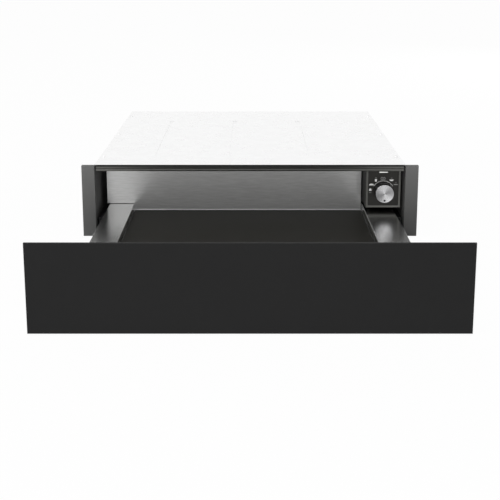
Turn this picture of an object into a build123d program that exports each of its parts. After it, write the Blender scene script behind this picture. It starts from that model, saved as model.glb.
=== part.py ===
from build123d import *
import os

# Built-in warming drawer, shown with its drawer pulled out.
# Millimetres. +X is right seen from the front, +Y runs back into the cabinet, +Z is up.
# The origin lies under the housing, on its centre line and on the plane of the cabinet's front.
# Every piece is built with the drawer closed. Pieces of the drawer and its runners are then moved
# forward by their share of the travel, which is how the drawer stands when it rests open.

# ---- Overall sizes -------------------------------------------------------------------------
appliance_width = 597.0     # over the front panel and over the two front trims
overall_depth = 538.0       # closed, from the panel's face to the rear panel
housing_height = 129.0      # from the base to the top cover
travel = 408.0              # how far the drawer runs out

# ---- Front panel ---------------------------------------------------------------------------
panel_height = 127.0
panel_bottom = 1.0          # above the underside of the housing
panel_thickness = 5.0       # outer skin and back plate together
panel_gap = 3.0             # between the closed panel and the trims, needed to push it
backplate_gauge = 1.2
backplate_inset = 4.0       # from the panel's edges
panel_edge_radius = 0.6
bumper_radius = 4.0
bumper_inset = 12.0         # from the back plate's edges
bumper_round = 0.8

# ---- Housing sheet metal -------------------------------------------------------------------
sheet = 1.0                 # thickness of all folded steel
flange = 12.0               # width of the housing's folded joining edges
trim_width = 23.0
trim_depth = 9.0            # trims stand this far in front of the cabinet
trim_wall = 1.5
trim_corner = 1.4
trim_flange = 14.0          # edge of the side panels inside the trims
sill_height = 4.0
rail_height = 9.5
rail_end_gap = 3.5          # between the rail's ends and the trims
rail_groove = 1.0
rail_lip_depth = 6.0
rail_lip_radius = 1.3
rail_tongue = 14.0          # part of the rail that lies under the top cover
bead_width = 12.0
bead_depth = 1.5
bead_count = 3
bead_front = 62.0           # behind the cabinet's front plane
bead_rear_gap = 115.0       # from the beads to the rear panel
base_bead_pitch = 152.0
cover_bead_pitch = 138.0
cover_bead_offset = -33.0   # the cover's beads keep clear of the control box
vent_width = 4.0
vent_length = 26.0
vent_pitch = 12.0
vent_count = 12
side_vent_count = 7
base_vent_setback = 83.0    # from the front of the base's vents to the rear panel
rear_vent_offset = 138.0
vent_bottom = 80.0          # of the air slots in the rear and in the sides
side_vent_setback = 123.0   # from the side panels' first air slot to the rear panel
fixing_hole_radius = 2.25   # for the screws that hold the housing in its cabinet
fixing_hole_inset = 20.0    # from the front and the back of the side panels

# ---- Drawer --------------------------------------------------------------------------------
ledge_height = 40.0         # top of the steel ledges, above the underside of the housing
ledge_overhang = 2.1        # of the ledges beyond the drawer's runner members
left_ledge = 45.6
right_ledge = 53.1          # wider, because it runs under the control box
basin_depth = 15.5          # from the ledges down to the steel floor
tray_edge_radius = 0.8      # of the folds along the ledges
mat_thickness = 3.0
mat_margin = 1.0            # between the mat and the basin's walls
mat_edge_radius = 0.5
front_ledge = 22.0
back_overhang = 4.2         # the back sheet is this much wider than the left ledge
back_return = 7.0           # folded edges of the back sheet
back_joint = 0.8            # open joint between the back sheet and the left ledge
hem_radius = 0.8            # bead along the back sheet, just above the mat
back_below_rail = 7.0
back_control_gap = 2.5      # between the back sheet and the control box
air_slot_height = 5.0
air_slot_length = 28.0
air_slot_count = 9
air_slot_margin = 1.0       # below the folded top edge
carrier_depth = 15.0
carrier_bottom = 8.0
carrier_side_gap = 5.5      # to the inside of the housing
carrier_knob_gap = 4.3      # below the knob, which the closed carrier must pass

# ---- Runners -------------------------------------------------------------------------------
slide_height = 25.0
slide_bottom = 5.0
slide_pack = 13.0           # thickness of the three nested members
slide_offset = 4.0          # of the fixed member from the side panel
slide_gauge = 1.2
slide_bracket_height = 17.5
slide_front = 4.0           # behind the cabinet's front plane
slide_rear_gap = 40.0       # how much shorter the middle member is than the fixed one
ball_diameter = 3.0
ball_play = 0.1
ball_count = 10             # in each of a cage's two rows
ball_margin = 4.5           # from the cage's ends to the first and the last ball
cage_gauge = 0.8
cage_length = 120.0
cage_room = 2.2             # between the webs of two neighbouring members
buffer_length = 8.0

# ---- Controls ------------------------------------------------------------------------------
control_recess = 20.0       # face of the controls behind the front of the trims
control_width = 62.8
control_side_gap = 4.4      # to the right side panel
control_above_ledge = 7.0
bezel_width = 3.8
bezel_depth = 3.0
bezel_round = 0.75
control_lip = 3.0           # edge of the control box behind the bezel
box_port_margin = 15.0      # below and above the control box's opening to the blower space
fascia_recess = 1.0
fascia_rim = 0.4            # edge of the fascia behind the bezel
fascia_thickness = 2.5
lens_width = 15.6
lens_height = 1.6
lens_below_rail = 7.1
lamp_size = 4.2
lamp_lead_radius = 0.5
knob_radius = 16.2
knob_flare = 0.5            # the knob's back is this much larger in radius than its face
knob_length = 19.5
knob_gap = 0.8              # between the knob and the fascia
knob_above_box = 30.5       # knob axis above the underside of the control box
knob_cap_thickness = 1.5
knob_cap_round = 0.6
knob_end_wall = 3.0         # between the cap and the shaft's end
knob_hollow_radius = 12.5
knob_hollow_depth = 8.0
pointer_radius = 1.9
pointer_offset = 12.3
shaft_radius = 3.0
shaft_flat = 0.7
neck_radius = 4.9
neck_length = 6.0
switch_size = 36.0
switch_depth = 27.0
switch_corner = 3.0
switch_tag_pitch = 10.0
tag_width = 6.3             # of all spade tags
tag_length = 6.3
tag_gauge = 0.8
shaft_depth = 12.0          # of the knob's shaft inside the switch
board_length = 100.0
board_height = 56.0
board_thickness = 1.6
board_standoff = 5.0
board_setback = 60.0        # behind the control face
relay_depth = 15.0          # how far the relays stand off the board
relay_width = 18.0
relay_height = 19.5
relay_start = 20.0          # from the board's front edge
relay_pitch = 30.0
relay_edge = 8.0            # above the board's lower edge
relay_round = 0.8
capacitor_radius = 5.0
capacitor_length = 15.0
capacitor_start = 30.0
capacitor_edge = 10.0       # below the board's upper edge
connector_start = 82.0
connector_width = 9.0
connector_height = 28.0
connector_depth = 11.0

# ---- Blower and heater ---------------------------------------------------------------------
rotor_radius = 16.0
rotor_length = 170.0
scroll_gap = 3.0            # round the rotor
scroll_wall = 1.0
inlet_height = 19.0
inlet_reach = 12.4          # of the inlet into the duct, from its front
outlet_above_rotor = 21.0   # lower edge of the outlet above the rotor's axis
scroll_bottom = 28.0
scroll_below_cover = 2.0
blower_offset = -30.0       # centre of the rotor along X
blade_count = 20
blade_chord = 5.0
blade_gauge = 0.6
blade_angle = 32.0
blade_margin = 0.25         # from the blades to the discs' edge
disc_gauge = 1.2
rotor_end_gap = 2.5
blower_shaft_radius = 2.0
bush_radius = 4.0
bush_length = 6.0
bush_proud = 1.0            # inside the end plate
bush_collar_radius = 5.6
bush_collar = 1.2
motor_width = 34.0
motor_height = 46.0
motor_stack = 16.0
armature_radius = 9.5
armature_gap = 0.6
motor_gap = 12.0            # from the blower's end plate
motor_corner = 2.0
motor_pin_radius = 2.0
motor_pin_inset = 4.0
motor_pin_end = 2.0         # of the pins beyond the stack
motor_shaft_end = 6.0       # of the shaft beyond the stack
motor_leg = 6.0             # part of the stack that the coil is wound on
coil_length = 13.0
coil_wrap = 8.9             # thickness of the winding
coil_round = 4.4
heater_radius = 3.25
heater_pin_radius = 1.1
heater_pin_length = 9.0
heater_spacing = 15.0
heater_below_duct = 11.0
heater_tail = 18.0
clip_thickness = 1.5
clip_margin = 3.0           # of the clips round the rod
clip_inset = 45.0           # from the duct's ends
cutout_radius = 8.0
cutout_height = 6.0
cutout_round = 1.0

# ---- Latch, door switch and mains entry ----------------------------------------------------
drawer_rear_clearance = 4.0  # between the closed drawer and the blower
latch_width = 34.0
latch_length = 30.0
latch_height = 18.0
latch_corner = 2.0
latch_setback = 10.0        # of the latch's front behind the closed drawer
plunger_radius = 3.0
plunger_travel = 4.0
plunger_engagement = 16.0
plunger_axis = 10.0         # above the base
tip_round = 0.5             # rounding of the plunger's and the button's tips, as a share of their radius
striker_gap = 0.3           # between the closed striker and the plunger or the button
striker_thickness = 1.5
striker_floor_gap = 4.0
door_switch_width = 20.0
door_switch_length = 14.0
door_switch_height = 13.0
door_switch_tag_pitch = 7.0
button_radius = 1.6
button_travel = 1.5
button_stand = 1.0          # what stays out of the button when it is pressed
button_engagement = 4.0
switch_spacing = 60.0       # of the door switch from the latch
gland_bore = 4.0
gland_body_radius = 7.5
gland_nut_radius = 8.5
gland_flange_radius = 10.5
gland_flange = 2.5
gland_length = 15.0
gland_inset = 45.0          # from the housing's left side
gland_height = 22.0
terminal_length = 46.0
terminal_depth = 14.4
terminal_height = 16.0
terminal_rear_gap = 3.6     # to the rear panel
terminal_well_radius = 2.5
terminal_well_depth = 7.4
terminal_wire_radius = 1.8
terminal_wire_height = 5.6  # above the base
terminal_notch_width = 1.2
terminal_notch_depth = 5.0
terminal_count = 3
terminal_gap = 30.0         # from the gland to the terminal block

# ---- Clearances and screws -----------------------------------------------------------------
loose = 0.3                 # pieces that pass each other
fit = 0.05                  # a shaft in its bush, as a gap on the radius
snug = 0.02                 # a piece held in its seat, as a gap on the radius
screw_radius = 1.75
screw_head_radius = 3.4
screw_head_height = 1.6
screw_head_round = 0.6      # rounding of the head, as a share of its height
screw_slot_width = 0.9
screw_length = 5.0
screw_play = 0.2
cover_screw_count = 3       # on each side
cover_screw_inset = 62.0    # from the front plane and from the rear panel
rear_screw_count = 2        # on each side
rear_screw_low = 58.0       # above the underside of the housing
rear_screw_inset = 19.0     # below its top
carrier_screw_count = 6
carrier_screw_inset = 39.0  # from the drawer's sides
past = 1.0                  # how far a cut runs past what it cuts

# ---- Derived places ------------------------------------------------------------------------
half_width = appliance_width / 2
cavity_half = half_width - trim_width                    # inside of the side panels
case_half = cavity_half + sheet
body_depth = overall_depth - panel_thickness - panel_gap - trim_depth
rear_inside = body_depth - sheet
cover_underside = housing_height - sheet
trim_front = -trim_depth
panel_back = trim_front - panel_gap
panel_face = panel_back - panel_thickness
rail_bottom = housing_height - rail_height

scroll_radius = rotor_radius + scroll_gap
scroll_outside = scroll_radius + scroll_wall
rotor_y = rear_inside - scroll_outside
rotor_z = scroll_bottom + scroll_outside
blower_front = rotor_y - scroll_outside
duct_top = cover_underside - scroll_below_cover
rotor_from = blower_offset - rotor_length / 2
rotor_to = blower_offset + rotor_length / 2
duct_from = rotor_from - rotor_end_gap
duct_to = rotor_to + rotor_end_gap

slide_back = cavity_half - slide_offset                  # the fixed member's back on the right
runner_x = slide_back - slide_pack                       # where the drawer's member is screwed on
ledge_half = runner_x + ledge_overhang                   # half the drawer's width over the ledges
drawer_rear = blower_front - drawer_rear_clearance       # rearmost edge of the closed drawer
back_y = drawer_rear - back_return - sheet               # front face of the drawer's back sheet
basin_floor = ledge_height - basin_depth
basin_left = -ledge_half + left_ledge
basin_right = ledge_half - right_ledge
tray_front = panel_back + sheet
basin_front = tray_front + front_ledge
back_top = rail_bottom - back_below_rail

slide_z = slide_bottom + slide_height / 2
slide_top = slide_bottom + slide_height
slide_rear = drawer_rear - loose
outer_half = slide_height / 2
ball_space = ball_diameter + 2 * ball_play
middle_half = outer_half - slide_gauge - ball_space
inner_half = middle_half - slide_gauge - ball_space
outer_tip = slide_pack - slide_gauge - 4 * loose
middle_web = slide_gauge + cage_room
middle_tip = slide_pack - slide_gauge - loose
inner_tip = middle_web + slide_gauge + cage_room

control_face = trim_front + control_recess
control_right = cavity_half - control_side_gap
control_left = control_right - control_width
control_bottom = ledge_height + control_above_ledge
fascia_face = control_face + fascia_recess
fascia_back = fascia_face + fascia_thickness
bezel_top = cover_underside - sheet - loose
knob_x = (control_left + control_right) / 2
knob_z = control_bottom + knob_above_box
knob_back = fascia_face - knob_gap
knob_front = knob_back - knob_length
lens_z = rail_bottom - lens_below_rail
back_right = control_left - back_control_gap             # right edge of the drawer's back sheet
back_left = -ledge_half - back_overhang
carrier_top = knob_z - knob_radius - knob_flare - carrier_knob_gap
carrier_half = cavity_half - carrier_side_gap
plunger_z = sheet + plunger_axis


# ---- Building helpers ----------------------------------------------------------------------
def block(x, y, z):
    """Solid box between two X, two Y and two Z values."""
    spans = [sorted(pair) for pair in (x, y, z)]
    centre = [(low + high) / 2 for low, high in spans]
    size = [high - low for low, high in spans]
    return Pos(*centre) * Box(*size)


def rod(axis, centre, radius, start, end):
    """Round bar along X, Y or Z; centre is its place on the other two axes, in X, Y, Z order."""
    low, high = sorted((start, end))
    middle = (low + high) / 2
    bar = Cylinder(radius, high - low)
    if axis == "X":
        return Pos(middle, *centre) * Rot(0, 90, 0) * bar
    if axis == "Y":
        return Pos(centre[0], middle, centre[1]) * Rot(90, 0, 0) * bar
    return Pos(*centre, middle) * bar


def spread(low, high, count):
    """Evenly spaced values from low to high, both included."""
    if count == 1:
        return [(low + high) / 2]
    return [low + (high - low) * i / (count - 1) for i in range(count)]


def centred(centre, pitch, count):
    """A row of count values about centre."""
    return [centre + pitch * (i - (count - 1) / 2) for i in range(count)]


def both_sides(shape):
    """A shape made on the right, and its mirror image on the left."""
    return [shape, mirror(shape, about=Plane.YZ)]


def screw(position, direction, length=screw_length):
    """Pan-head screw with a cross recess. Position lies under the head; direction is its tip's way."""
    seat = Plane(origin=position, z_dir=direction)
    head = Pos(0, 0, -screw_head_height / 2) * Cylinder(screw_head_radius, screw_head_height)
    head = fillet(head.edges().sort_by(Axis.Z)[0], screw_head_height * screw_head_round)
    bar = Pos(0, 0, -screw_head_height) * Box(screw_head_radius, screw_slot_width, screw_head_height)
    head = head - bar - Rot(0, 0, 90) * bar
    shank = Pos(0, 0, length / 2) * Cylinder(screw_radius, length)
    return seat * (head + shank)


def screw_hole(position, direction, length=screw_length):
    """Clearance hole through the sheets that a screw at the same position joins."""
    seat = Plane(origin=position, z_dir=direction)
    return seat * (Pos(0, 0, length / 2) * Cylinder(screw_radius + screw_play, length + 2 * screw_play))


# ---- Screw places, shared by the screws and their holes --------------------------------------
cover_screw_places = [
    (side * (cavity_half - flange / 2), y, housing_height)
    for side in (-1, 1)
    for y in spread(cover_screw_inset, body_depth - cover_screw_inset, cover_screw_count)
]
rear_screw_places = [
    (side * (cavity_half - flange / 2), body_depth, z)
    for side in (-1, 1)
    for z in spread(rear_screw_low, housing_height - rear_screw_inset, rear_screw_count)
]
carrier_screw_z = (basin_floor + ledge_height) / 2
carrier_screw_places = [
    (x, panel_back + 2 * sheet, carrier_screw_z)
    for x in spread(carrier_screw_inset - ledge_half, ledge_half - carrier_screw_inset, carrier_screw_count)
]
carrier_screw_length = 2 * sheet + backplate_gauge       # through tray, carrier and back plate
DOWN, BACK, FORWARD = (0, 0, -1), (0, 1, 0), (0, -1, 0)


# ---- Housing -------------------------------------------------------------------------------
def pressed_bead(x, y, z, raised):
    """A stiffening bead pressed into a sheet whose lower face is at z: (material, hollow)."""
    rise = bead_depth if raised else -bead_depth
    outer_z = (z + sheet, z + sheet + rise) if raised else (z, z + rise)
    inner_z = (z - past, z + rise) if raised else (z + sheet + past, z + sheet + rise)
    outer = block((x - bead_width / 2, x + bead_width / 2), y, outer_z)
    inner = block(
        (x - bead_width / 2 + sheet, x + bead_width / 2 - sheet), (y[0] + sheet, y[1] - sheet), inner_z
    )
    return outer, inner


def bead_span():
    """Front and rear end of the beads."""
    return bead_front, body_depth - bead_rear_gap


def vent_row(centre):
    """X spans of one row of air slots."""
    return [(x - vent_width / 2, x + vent_width / 2) for x in centred(centre, vent_pitch, vent_count)]


def base_pan():
    """Flat base with a sill folded up between the trims, three beads and a row of air slots."""
    pan = block((-case_half, case_half), (0, body_depth), (0, sheet))
    pan += block((-cavity_half, cavity_half), (trim_front, 0), (0, sheet))
    pan += block((-cavity_half, cavity_half), (trim_front, trim_front + sheet), (sheet, sheet + sill_height))
    for x in centred(0, base_bead_pitch, bead_count):
        material, hollow = pressed_bead(x, bead_span(), 0, raised=True)
        pan = pan + material - hollow
    vent_front = body_depth - base_vent_setback
    for x in vent_row(0):
        pan -= block(x, (vent_front, vent_front + vent_length), (-past, sheet + past))
    return pan


def side_panel():
    """Right-hand side: a web with edges folded in at the top, bottom and rear, and out at the front."""
    web_front = trim_front + trim_wall
    web = block((cavity_half, case_half), (web_front, rear_inside), (sheet, cover_underside))
    inward = (cavity_half - flange, cavity_half)
    panel = web + block(inward, (0, rear_inside), (cover_underside - sheet, cover_underside))
    panel += block(inward, (0, rear_inside), (sheet, 2 * sheet))
    panel += block(inward, (rear_inside - sheet, rear_inside), (sheet, cover_underside))
    outward = (case_half, case_half + trim_flange)
    panel += block(outward, (web_front, web_front + sheet), (sheet, cover_underside))
    for y in (fixing_hole_inset, body_depth - fixing_hole_inset):
        panel -= rod("X", (y, fixing_hole_z()), fixing_hole_radius, cavity_half - past, case_half + past)
    through = (cavity_half - past, case_half + past)
    for i in range(side_vent_count):
        y = body_depth - side_vent_setback + vent_pitch * i
        panel -= block(through, (y, y + vent_width), (vent_bottom, vent_bottom + vent_length))
    for place in cover_screw_places:
        panel -= screw_hole(place, DOWN)
    for place in rear_screw_places:
        panel -= screw_hole(place, FORWARD)
    return panel


def fixing_hole_z():
    """Height of the cabinet screws: halfway between the runners and the control box."""
    return (slide_top + control_bottom) / 2


def rear_panel():
    """Flat rear wall with air slots and the hole of the cable gland."""
    panel = block((-case_half, case_half), (rear_inside, body_depth), (sheet, cover_underside))
    through = (rear_inside - past, body_depth + past)
    for x in vent_row(rear_vent_offset):
        panel -= block(x, through, (vent_bottom, vent_bottom + vent_length))
    panel -= rod("Y", gland_centre(), gland_body_radius + snug, *through)
    for place in rear_screw_places:
        panel -= screw_hole(place, FORWARD)
    return panel


def top_cover():
    """Flat cover with beads pressed down into it."""
    cover = block((-case_half, case_half), (0, body_depth), (cover_underside, housing_height))
    for x in centred(cover_bead_offset, cover_bead_pitch, bead_count):
        material, hollow = pressed_bead(x, bead_span(), cover_underside, raised=False)
        cover = cover + material - hollow
    for place in cover_screw_places:
        cover -= screw_hole(place, DOWN)
    return cover


def front_trim():
    """Right-hand trim: a closed-ended channel that covers the cabinet's edge, open on its inner side."""
    trim = block((cavity_half, half_width), (trim_front, 0), (0, housing_height))
    upright = trim.edges().filter_by(Axis.Z).group_by(Axis.X)[-1]
    trim = fillet(upright.sort_by(Axis.Y)[0], trim_corner)
    trim -= block(
        (cavity_half, half_width - trim_wall), (trim_front + trim_wall, -trim_wall), (sheet, cover_underside)
    )
    return trim - block((cavity_half, case_half), (-trim_wall, 0), (0, housing_height))


def front_rail():
    """Top rail between the trims: a flat band over a rounded lip, with a tongue under the cover."""
    half = cavity_half - rail_end_gap
    lip_top = rail_bottom + (rail_height - rail_groove) / 2
    band_bottom = lip_top + rail_groove
    across = (-half, half)
    stem = (trim_front + rail_lip_depth / 2, trim_front + rail_lip_depth)
    lip = block(across, (trim_front, trim_front + rail_lip_depth), (rail_bottom, lip_top))
    lip_front = lip.edges().filter_by(Axis.X).group_by(Axis.Y)[0]
    rail = fillet(lip_front, rail_lip_radius)
    rail += block(across, stem, (lip_top, band_bottom))
    rail += block(across, (trim_front, stem[1]), (band_bottom, band_bottom + sheet))
    rail += block(across, (trim_front, trim_front + sheet), (band_bottom, housing_height))
    rail += block(across, (trim_front, 0), (cover_underside, housing_height))
    rail += block(across, (-sheet, 0), (cover_underside - sheet, housing_height))
    reach = cavity_half - flange - loose
    tongue = block((-reach, reach), (-sheet, rail_tongue), (cover_underside - sheet, cover_underside))
    return rail + tongue


# ---- Runners -------------------------------------------------------------------------------
def slide_x(distance):
    """X of a point of the right-hand runner, at a distance inward from its back."""
    return slide_back - distance


def channel(web_at, tip_at, half_height, along):
    """C-section of a runner: its web starts at web_at and its two flanges reach to tip_at."""
    way = 1 if tip_at > web_at else -1
    low, high = slide_z - half_height, slide_z + half_height
    section = block((slide_x(web_at), slide_x(web_at + way * slide_gauge)), along, (low, high))
    for z in ((low, low + slide_gauge), (high - slide_gauge, high)):
        section += block((slide_x(web_at), slide_x(tip_at)), along, z)
    return section


def slide_bracket():
    """Channel that holds the fixed member off the right side panel."""
    along = (slide_front + buffer_length, slide_rear - buffer_length)
    low, high = slide_z - slide_bracket_height / 2, slide_z + slide_bracket_height / 2
    bracket = block((slide_back, cavity_half), along, (low, high))
    return bracket - block((slide_back + sheet, cavity_half), along, (low + sheet, high - sheet))


def slide_outer():
    """Fixed member, open towards the drawer."""
    return channel(0, outer_tip, outer_half, (slide_front, slide_rear))


def middle_span():
    """Front and rear end of the closed middle member."""
    return slide_front + loose, slide_rear - slide_rear_gap


def inner_span():
    """Front and rear end of the drawer's member, closed."""
    return slide_front + loose, slide_rear - buffer_length - loose


def slide_middle():
    """Middle member, nested in the fixed one."""
    return channel(middle_web, middle_tip, middle_half, middle_span())


def slide_inner():
    """Drawer's member: a flat web on the runner bracket, with two flanges inside the middle member."""
    section = channel(slide_pack, inner_tip, inner_half, inner_span())
    web = (slide_x(slide_pack), slide_x(slide_pack - slide_gauge))
    return section + block(web, inner_span(), (slide_z - outer_half, slide_z + outer_half))


def slide_buffer():
    """Rubber stop in the rear end of the fixed member, which the drawer's member meets when closed."""
    x = (slide_x(inner_tip), slide_x(outer_tip))
    y = (slide_rear - buffer_length, slide_rear)
    return block(x, y, (slide_z - outer_half + slide_gauge, slide_z + outer_half - slide_gauge))


def ball_cage(web_from, web_to, reach, row_height, ball_at, centre_y):
    """Ball cage of one running gap, with its balls: a thin channel with a pocket for each ball."""
    middle = (web_from + web_to) / 2
    low = middle - cage_gauge / 2
    along = (centre_y - cage_length / 2, centre_y + cage_length / 2)
    edge = row_height + cage_gauge / 2
    cage = block((slide_x(low), slide_x(low + cage_gauge)), along, (slide_z - edge, slide_z + edge))
    for way in (-1, 1):
        z = slide_z + way * row_height
        cage += block((slide_x(low), slide_x(reach)), along, (z - cage_gauge / 2, z + cage_gauge / 2))
    balls = []
    rows = spread(along[0] + ball_margin, along[1] - ball_margin, ball_count)
    for way in (-1, 1):
        for y in rows:
            z = slide_z + way * row_height
            pocket = (slide_x(ball_at), y)
            cage -= rod("Z", pocket, ball_diameter / 2 + ball_play, z - cage_gauge, z + cage_gauge)
            balls.append(Pos(*pocket, z) * Sphere(ball_diameter / 2))
    return [cage] + balls


def outer_cage():
    """Cage between the fixed and the middle member, centred where they overlap when open."""
    centre_open = (slide_front + middle_span()[1] - travel / 2) / 2
    ball_at = (middle_web + slide_gauge + outer_tip) / 2
    reach = ball_at + ball_diameter / 2 + 2 * loose
    row = middle_half + ball_space / 2
    return ball_cage(slide_gauge, middle_web, reach, row, ball_at, centre_open + travel / 4)


def inner_cage():
    """Cage between the middle and the drawer's member."""
    centre_open = (middle_span()[0] - travel / 2 + inner_span()[1] - travel) / 2
    ball_at = (inner_tip + middle_tip) / 2
    reach = ball_at + ball_diameter / 2 + 2 * loose
    row = inner_half + ball_space / 2
    return ball_cage(
        middle_web + slide_gauge, inner_tip, reach, row, ball_at, centre_open + travel * 3 / 4
    )


# ---- Controls ------------------------------------------------------------------------------
def control_box():
    """Folded steel duct from the controls to the rear wall, with bosses for the circuit board."""
    y = (control_face + bezel_depth, rear_inside - sheet)
    box = block((control_left, control_right), y, (control_bottom, control_bottom + sheet))
    box += block((control_left, control_left + sheet), y, (control_bottom, cover_underside))
    # the right wall stops short of the screws in the side panel's edges
    right_wall = (control_bottom, housing_height - screw_length - loose)
    right_end = body_depth - screw_length - loose
    box += block((control_right - sheet, control_right), (y[0], right_end), right_wall)
    front = (y[0], y[0] + sheet)
    box += block((control_left, control_right), front, (control_bottom, control_bottom + control_lip))
    box += block((control_left, control_left + control_lip), front, (control_bottom, bezel_top))
    box += block((control_right - control_lip, control_right), front, (control_bottom, bezel_top))
    box -= block(
        (control_left - past, control_left + sheet + past),
        (rotor_y - scroll_radius, rotor_y + scroll_radius / 2),
        (control_bottom + box_port_margin, cover_underside - box_port_margin),
    )
    for y_post, z_post in board_posts():
        inner = control_left + sheet
        box += rod("X", (y_post, z_post), board_standoff / 2, inner, inner + board_standoff)
    # the front rail's tongue ends in front of the left wall's notch
    box -= block(
        (control_left - past, control_left + sheet + past),
        (0, rail_tongue + loose),
        (cover_underside - sheet - loose, cover_underside + past),
    )
    return box


def control_bezel():
    """Frame round the control face."""
    y = (control_face, control_face + bezel_depth)
    frame = block((control_left, control_right), y, (control_bottom, bezel_top))
    front = frame.faces().sort_by(Axis.Y)[0].edges()
    frame = fillet(front, bezel_round)
    window = block(
        (control_left + bezel_width, control_right - bezel_width),
        (y[0] - past, y[1] + past),
        (control_bottom + bezel_width, bezel_top - bezel_width),
    )
    return frame - window


def control_fascia():
    """Plastic plate in the bezel's window, with a rim behind it and holes for the switch and the lens."""
    x = (control_left + bezel_width, control_right - bezel_width)
    z = (control_bottom + bezel_width, bezel_top - bezel_width)
    plate = block(x, (fascia_face, fascia_back), z)
    plate += block((x[0] - fascia_rim, x[1] + fascia_rim), (control_face + bezel_depth, fascia_back), z)
    plate -= rod("Y", (knob_x, knob_z), neck_radius + loose, fascia_face - past, fascia_back + past)
    return plate - lens_bar(snug, fascia_face - past, fascia_back + past)


def lens_bar(grown, start, end):
    """Bar with round ends at the pilot lens, larger all round by grown."""
    radius = lens_height / 2 + grown
    reach = lens_width / 2 - lens_height / 2
    bar = block((knob_x - reach, knob_x + reach), (start, end), (lens_z - radius, lens_z + radius))
    for x in (knob_x - reach, knob_x + reach):
        bar += rod("Y", (x, lens_z), radius, start, end)
    return bar


def pilot_lens():
    """Clear window of the pilot light."""
    return lens_bar(0, fascia_face - loose, fascia_back + sheet)


def pilot_lamp():
    """Small lamp body behind the lens."""
    start = fascia_back + sheet
    end = start + lamp_size
    z = (lens_z - lamp_size / 2, lens_z + lamp_size / 2)
    lamp = block((knob_x - lamp_size, knob_x + lamp_size), (start, end), z)
    for x in centred(knob_x, lamp_size, 2):
        lamp += rod("Y", (x, lens_z), lamp_lead_radius, end, end + lamp_size)
    return lamp


def spade_tag(centre, start, end):
    """Upright spade tag that points along Y; centre is its X and Z."""
    x, z = centre
    return block((x - tag_gauge / 2, x + tag_gauge / 2), (start, end), (z - tag_width / 2, z + tag_width / 2))


def rotary_switch():
    """Switch behind the fascia, with a neck that the knob's shaft turns in, and its terminals."""
    half = switch_size / 2
    tail = fascia_back + switch_depth
    body = block((knob_x - half, knob_x + half), (fascia_back, tail), (knob_z - half, knob_z + half))
    body = fillet(body.edges().filter_by(Axis.Y), switch_corner)
    body += rod("Y", (knob_x, knob_z), neck_radius, fascia_back - neck_length, fascia_back)
    bore_end = fascia_back + shaft_depth + loose
    body -= rod("Y", (knob_x, knob_z), shaft_radius + fit, fascia_back - neck_length - past, bore_end)
    for x in centred(knob_x, switch_tag_pitch, 3):
        for z in centred(knob_z, half, 2):
            body += spade_tag((x, z), tail, tail + tag_length)
    return body


def board_posts():
    """Y and Z of the four bosses that hold the circuit board."""
    y0 = control_face + board_setback
    z0 = board_bottom()
    edge = board_standoff
    return [
        (y, z) for y in (y0 + edge, y0 + board_length - edge) for z in (z0 + edge, z0 + board_height - edge)
    ]


def board_bottom():
    """Height of the board's lower edge, centred in the control box."""
    return (control_bottom + cover_underside - board_height) / 2


def board_face():
    """X of the board's component side."""
    return control_left + sheet + board_standoff + board_thickness


def control_board():
    """Circuit board on its bosses, with a hole over each."""
    y0 = control_face + board_setback
    x = (board_face() - board_thickness, board_face())
    return block(x, (y0, y0 + board_length), (board_bottom(), board_bottom() + board_height))


def board_components():
    """Relays, capacitors and a connector on the circuit board."""
    face = board_face()
    y0 = control_face + board_setback
    z0 = board_bottom()
    pieces = []
    for i in range(2):
        y = y0 + relay_start + relay_pitch * i
        z = z0 + relay_edge
        relay = block((face, face + relay_depth), (y, y + relay_width), (z, z + relay_height))
        pieces.append(fillet(relay.faces().sort_by(Axis.X)[-1].edges(), relay_round))
        place = (y0 + capacitor_start + relay_pitch * i, z0 + board_height - capacitor_edge)
        pieces.append(rod("X", place, capacitor_radius, face, face + capacitor_length))
    y = (y0 + connector_start, y0 + connector_start + connector_width)
    z_middle = z0 + board_height / 2
    z = (z_middle - connector_height / 2, z_middle + connector_height / 2)
    return pieces + [block((face, face + connector_depth), y, z)]


def knob_body():
    """Hollow dark knob with a hub for the shaft."""
    face = knob_front + knob_cap_thickness
    depth = knob_back - face
    outline = Plane(origin=(knob_x, face, knob_z), z_dir=(0, 1, 0))
    cone = outline * (Pos(0, 0, depth / 2) * Cone(knob_radius, knob_radius + knob_flare, depth))
    cone -= rod("Y", (knob_x, knob_z), knob_hollow_radius, knob_back - knob_hollow_depth, knob_back + past)
    return cone - rod("Y", (knob_x, knob_z), shaft_radius + snug, face + knob_end_wall, knob_back)


def knob_cap():
    """Spun metal face with its pointer hole at the bottom, where the knob is off."""
    cap = rod("Y", (knob_x, knob_z), knob_radius, knob_front, knob_front + knob_cap_thickness)
    cap = fillet(cap.edges().sort_by(Axis.Y)[0], knob_cap_round)
    hole = (knob_x, knob_z - pointer_offset)
    return cap - rod("Y", hole, pointer_radius, knob_front - past, knob_back)


def knob_shaft():
    """Shaft with a flat, from the knob's hub into the switch."""
    start = knob_front + knob_cap_thickness + knob_end_wall
    shaft = rod("Y", (knob_x, knob_z), shaft_radius, start, fascia_back + shaft_depth)
    flat = block(
        (knob_x - shaft_radius, knob_x + shaft_radius),
        (start - past, knob_back - knob_hollow_depth),
        (knob_z + shaft_radius - shaft_flat, knob_z + shaft_radius + past),
    )
    return shaft - flat


# ---- Blower and heater ---------------------------------------------------------------------
def scroll_shape(radius, x, top):
    """Round-bottomed duct shape about the rotor axis, from one X to another and up to top."""
    shape = rod("X", (rotor_y, rotor_z), radius, *x)
    return shape + block(x, (rotor_y - radius, rotor_y + radius), (rotor_z, top))


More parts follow.
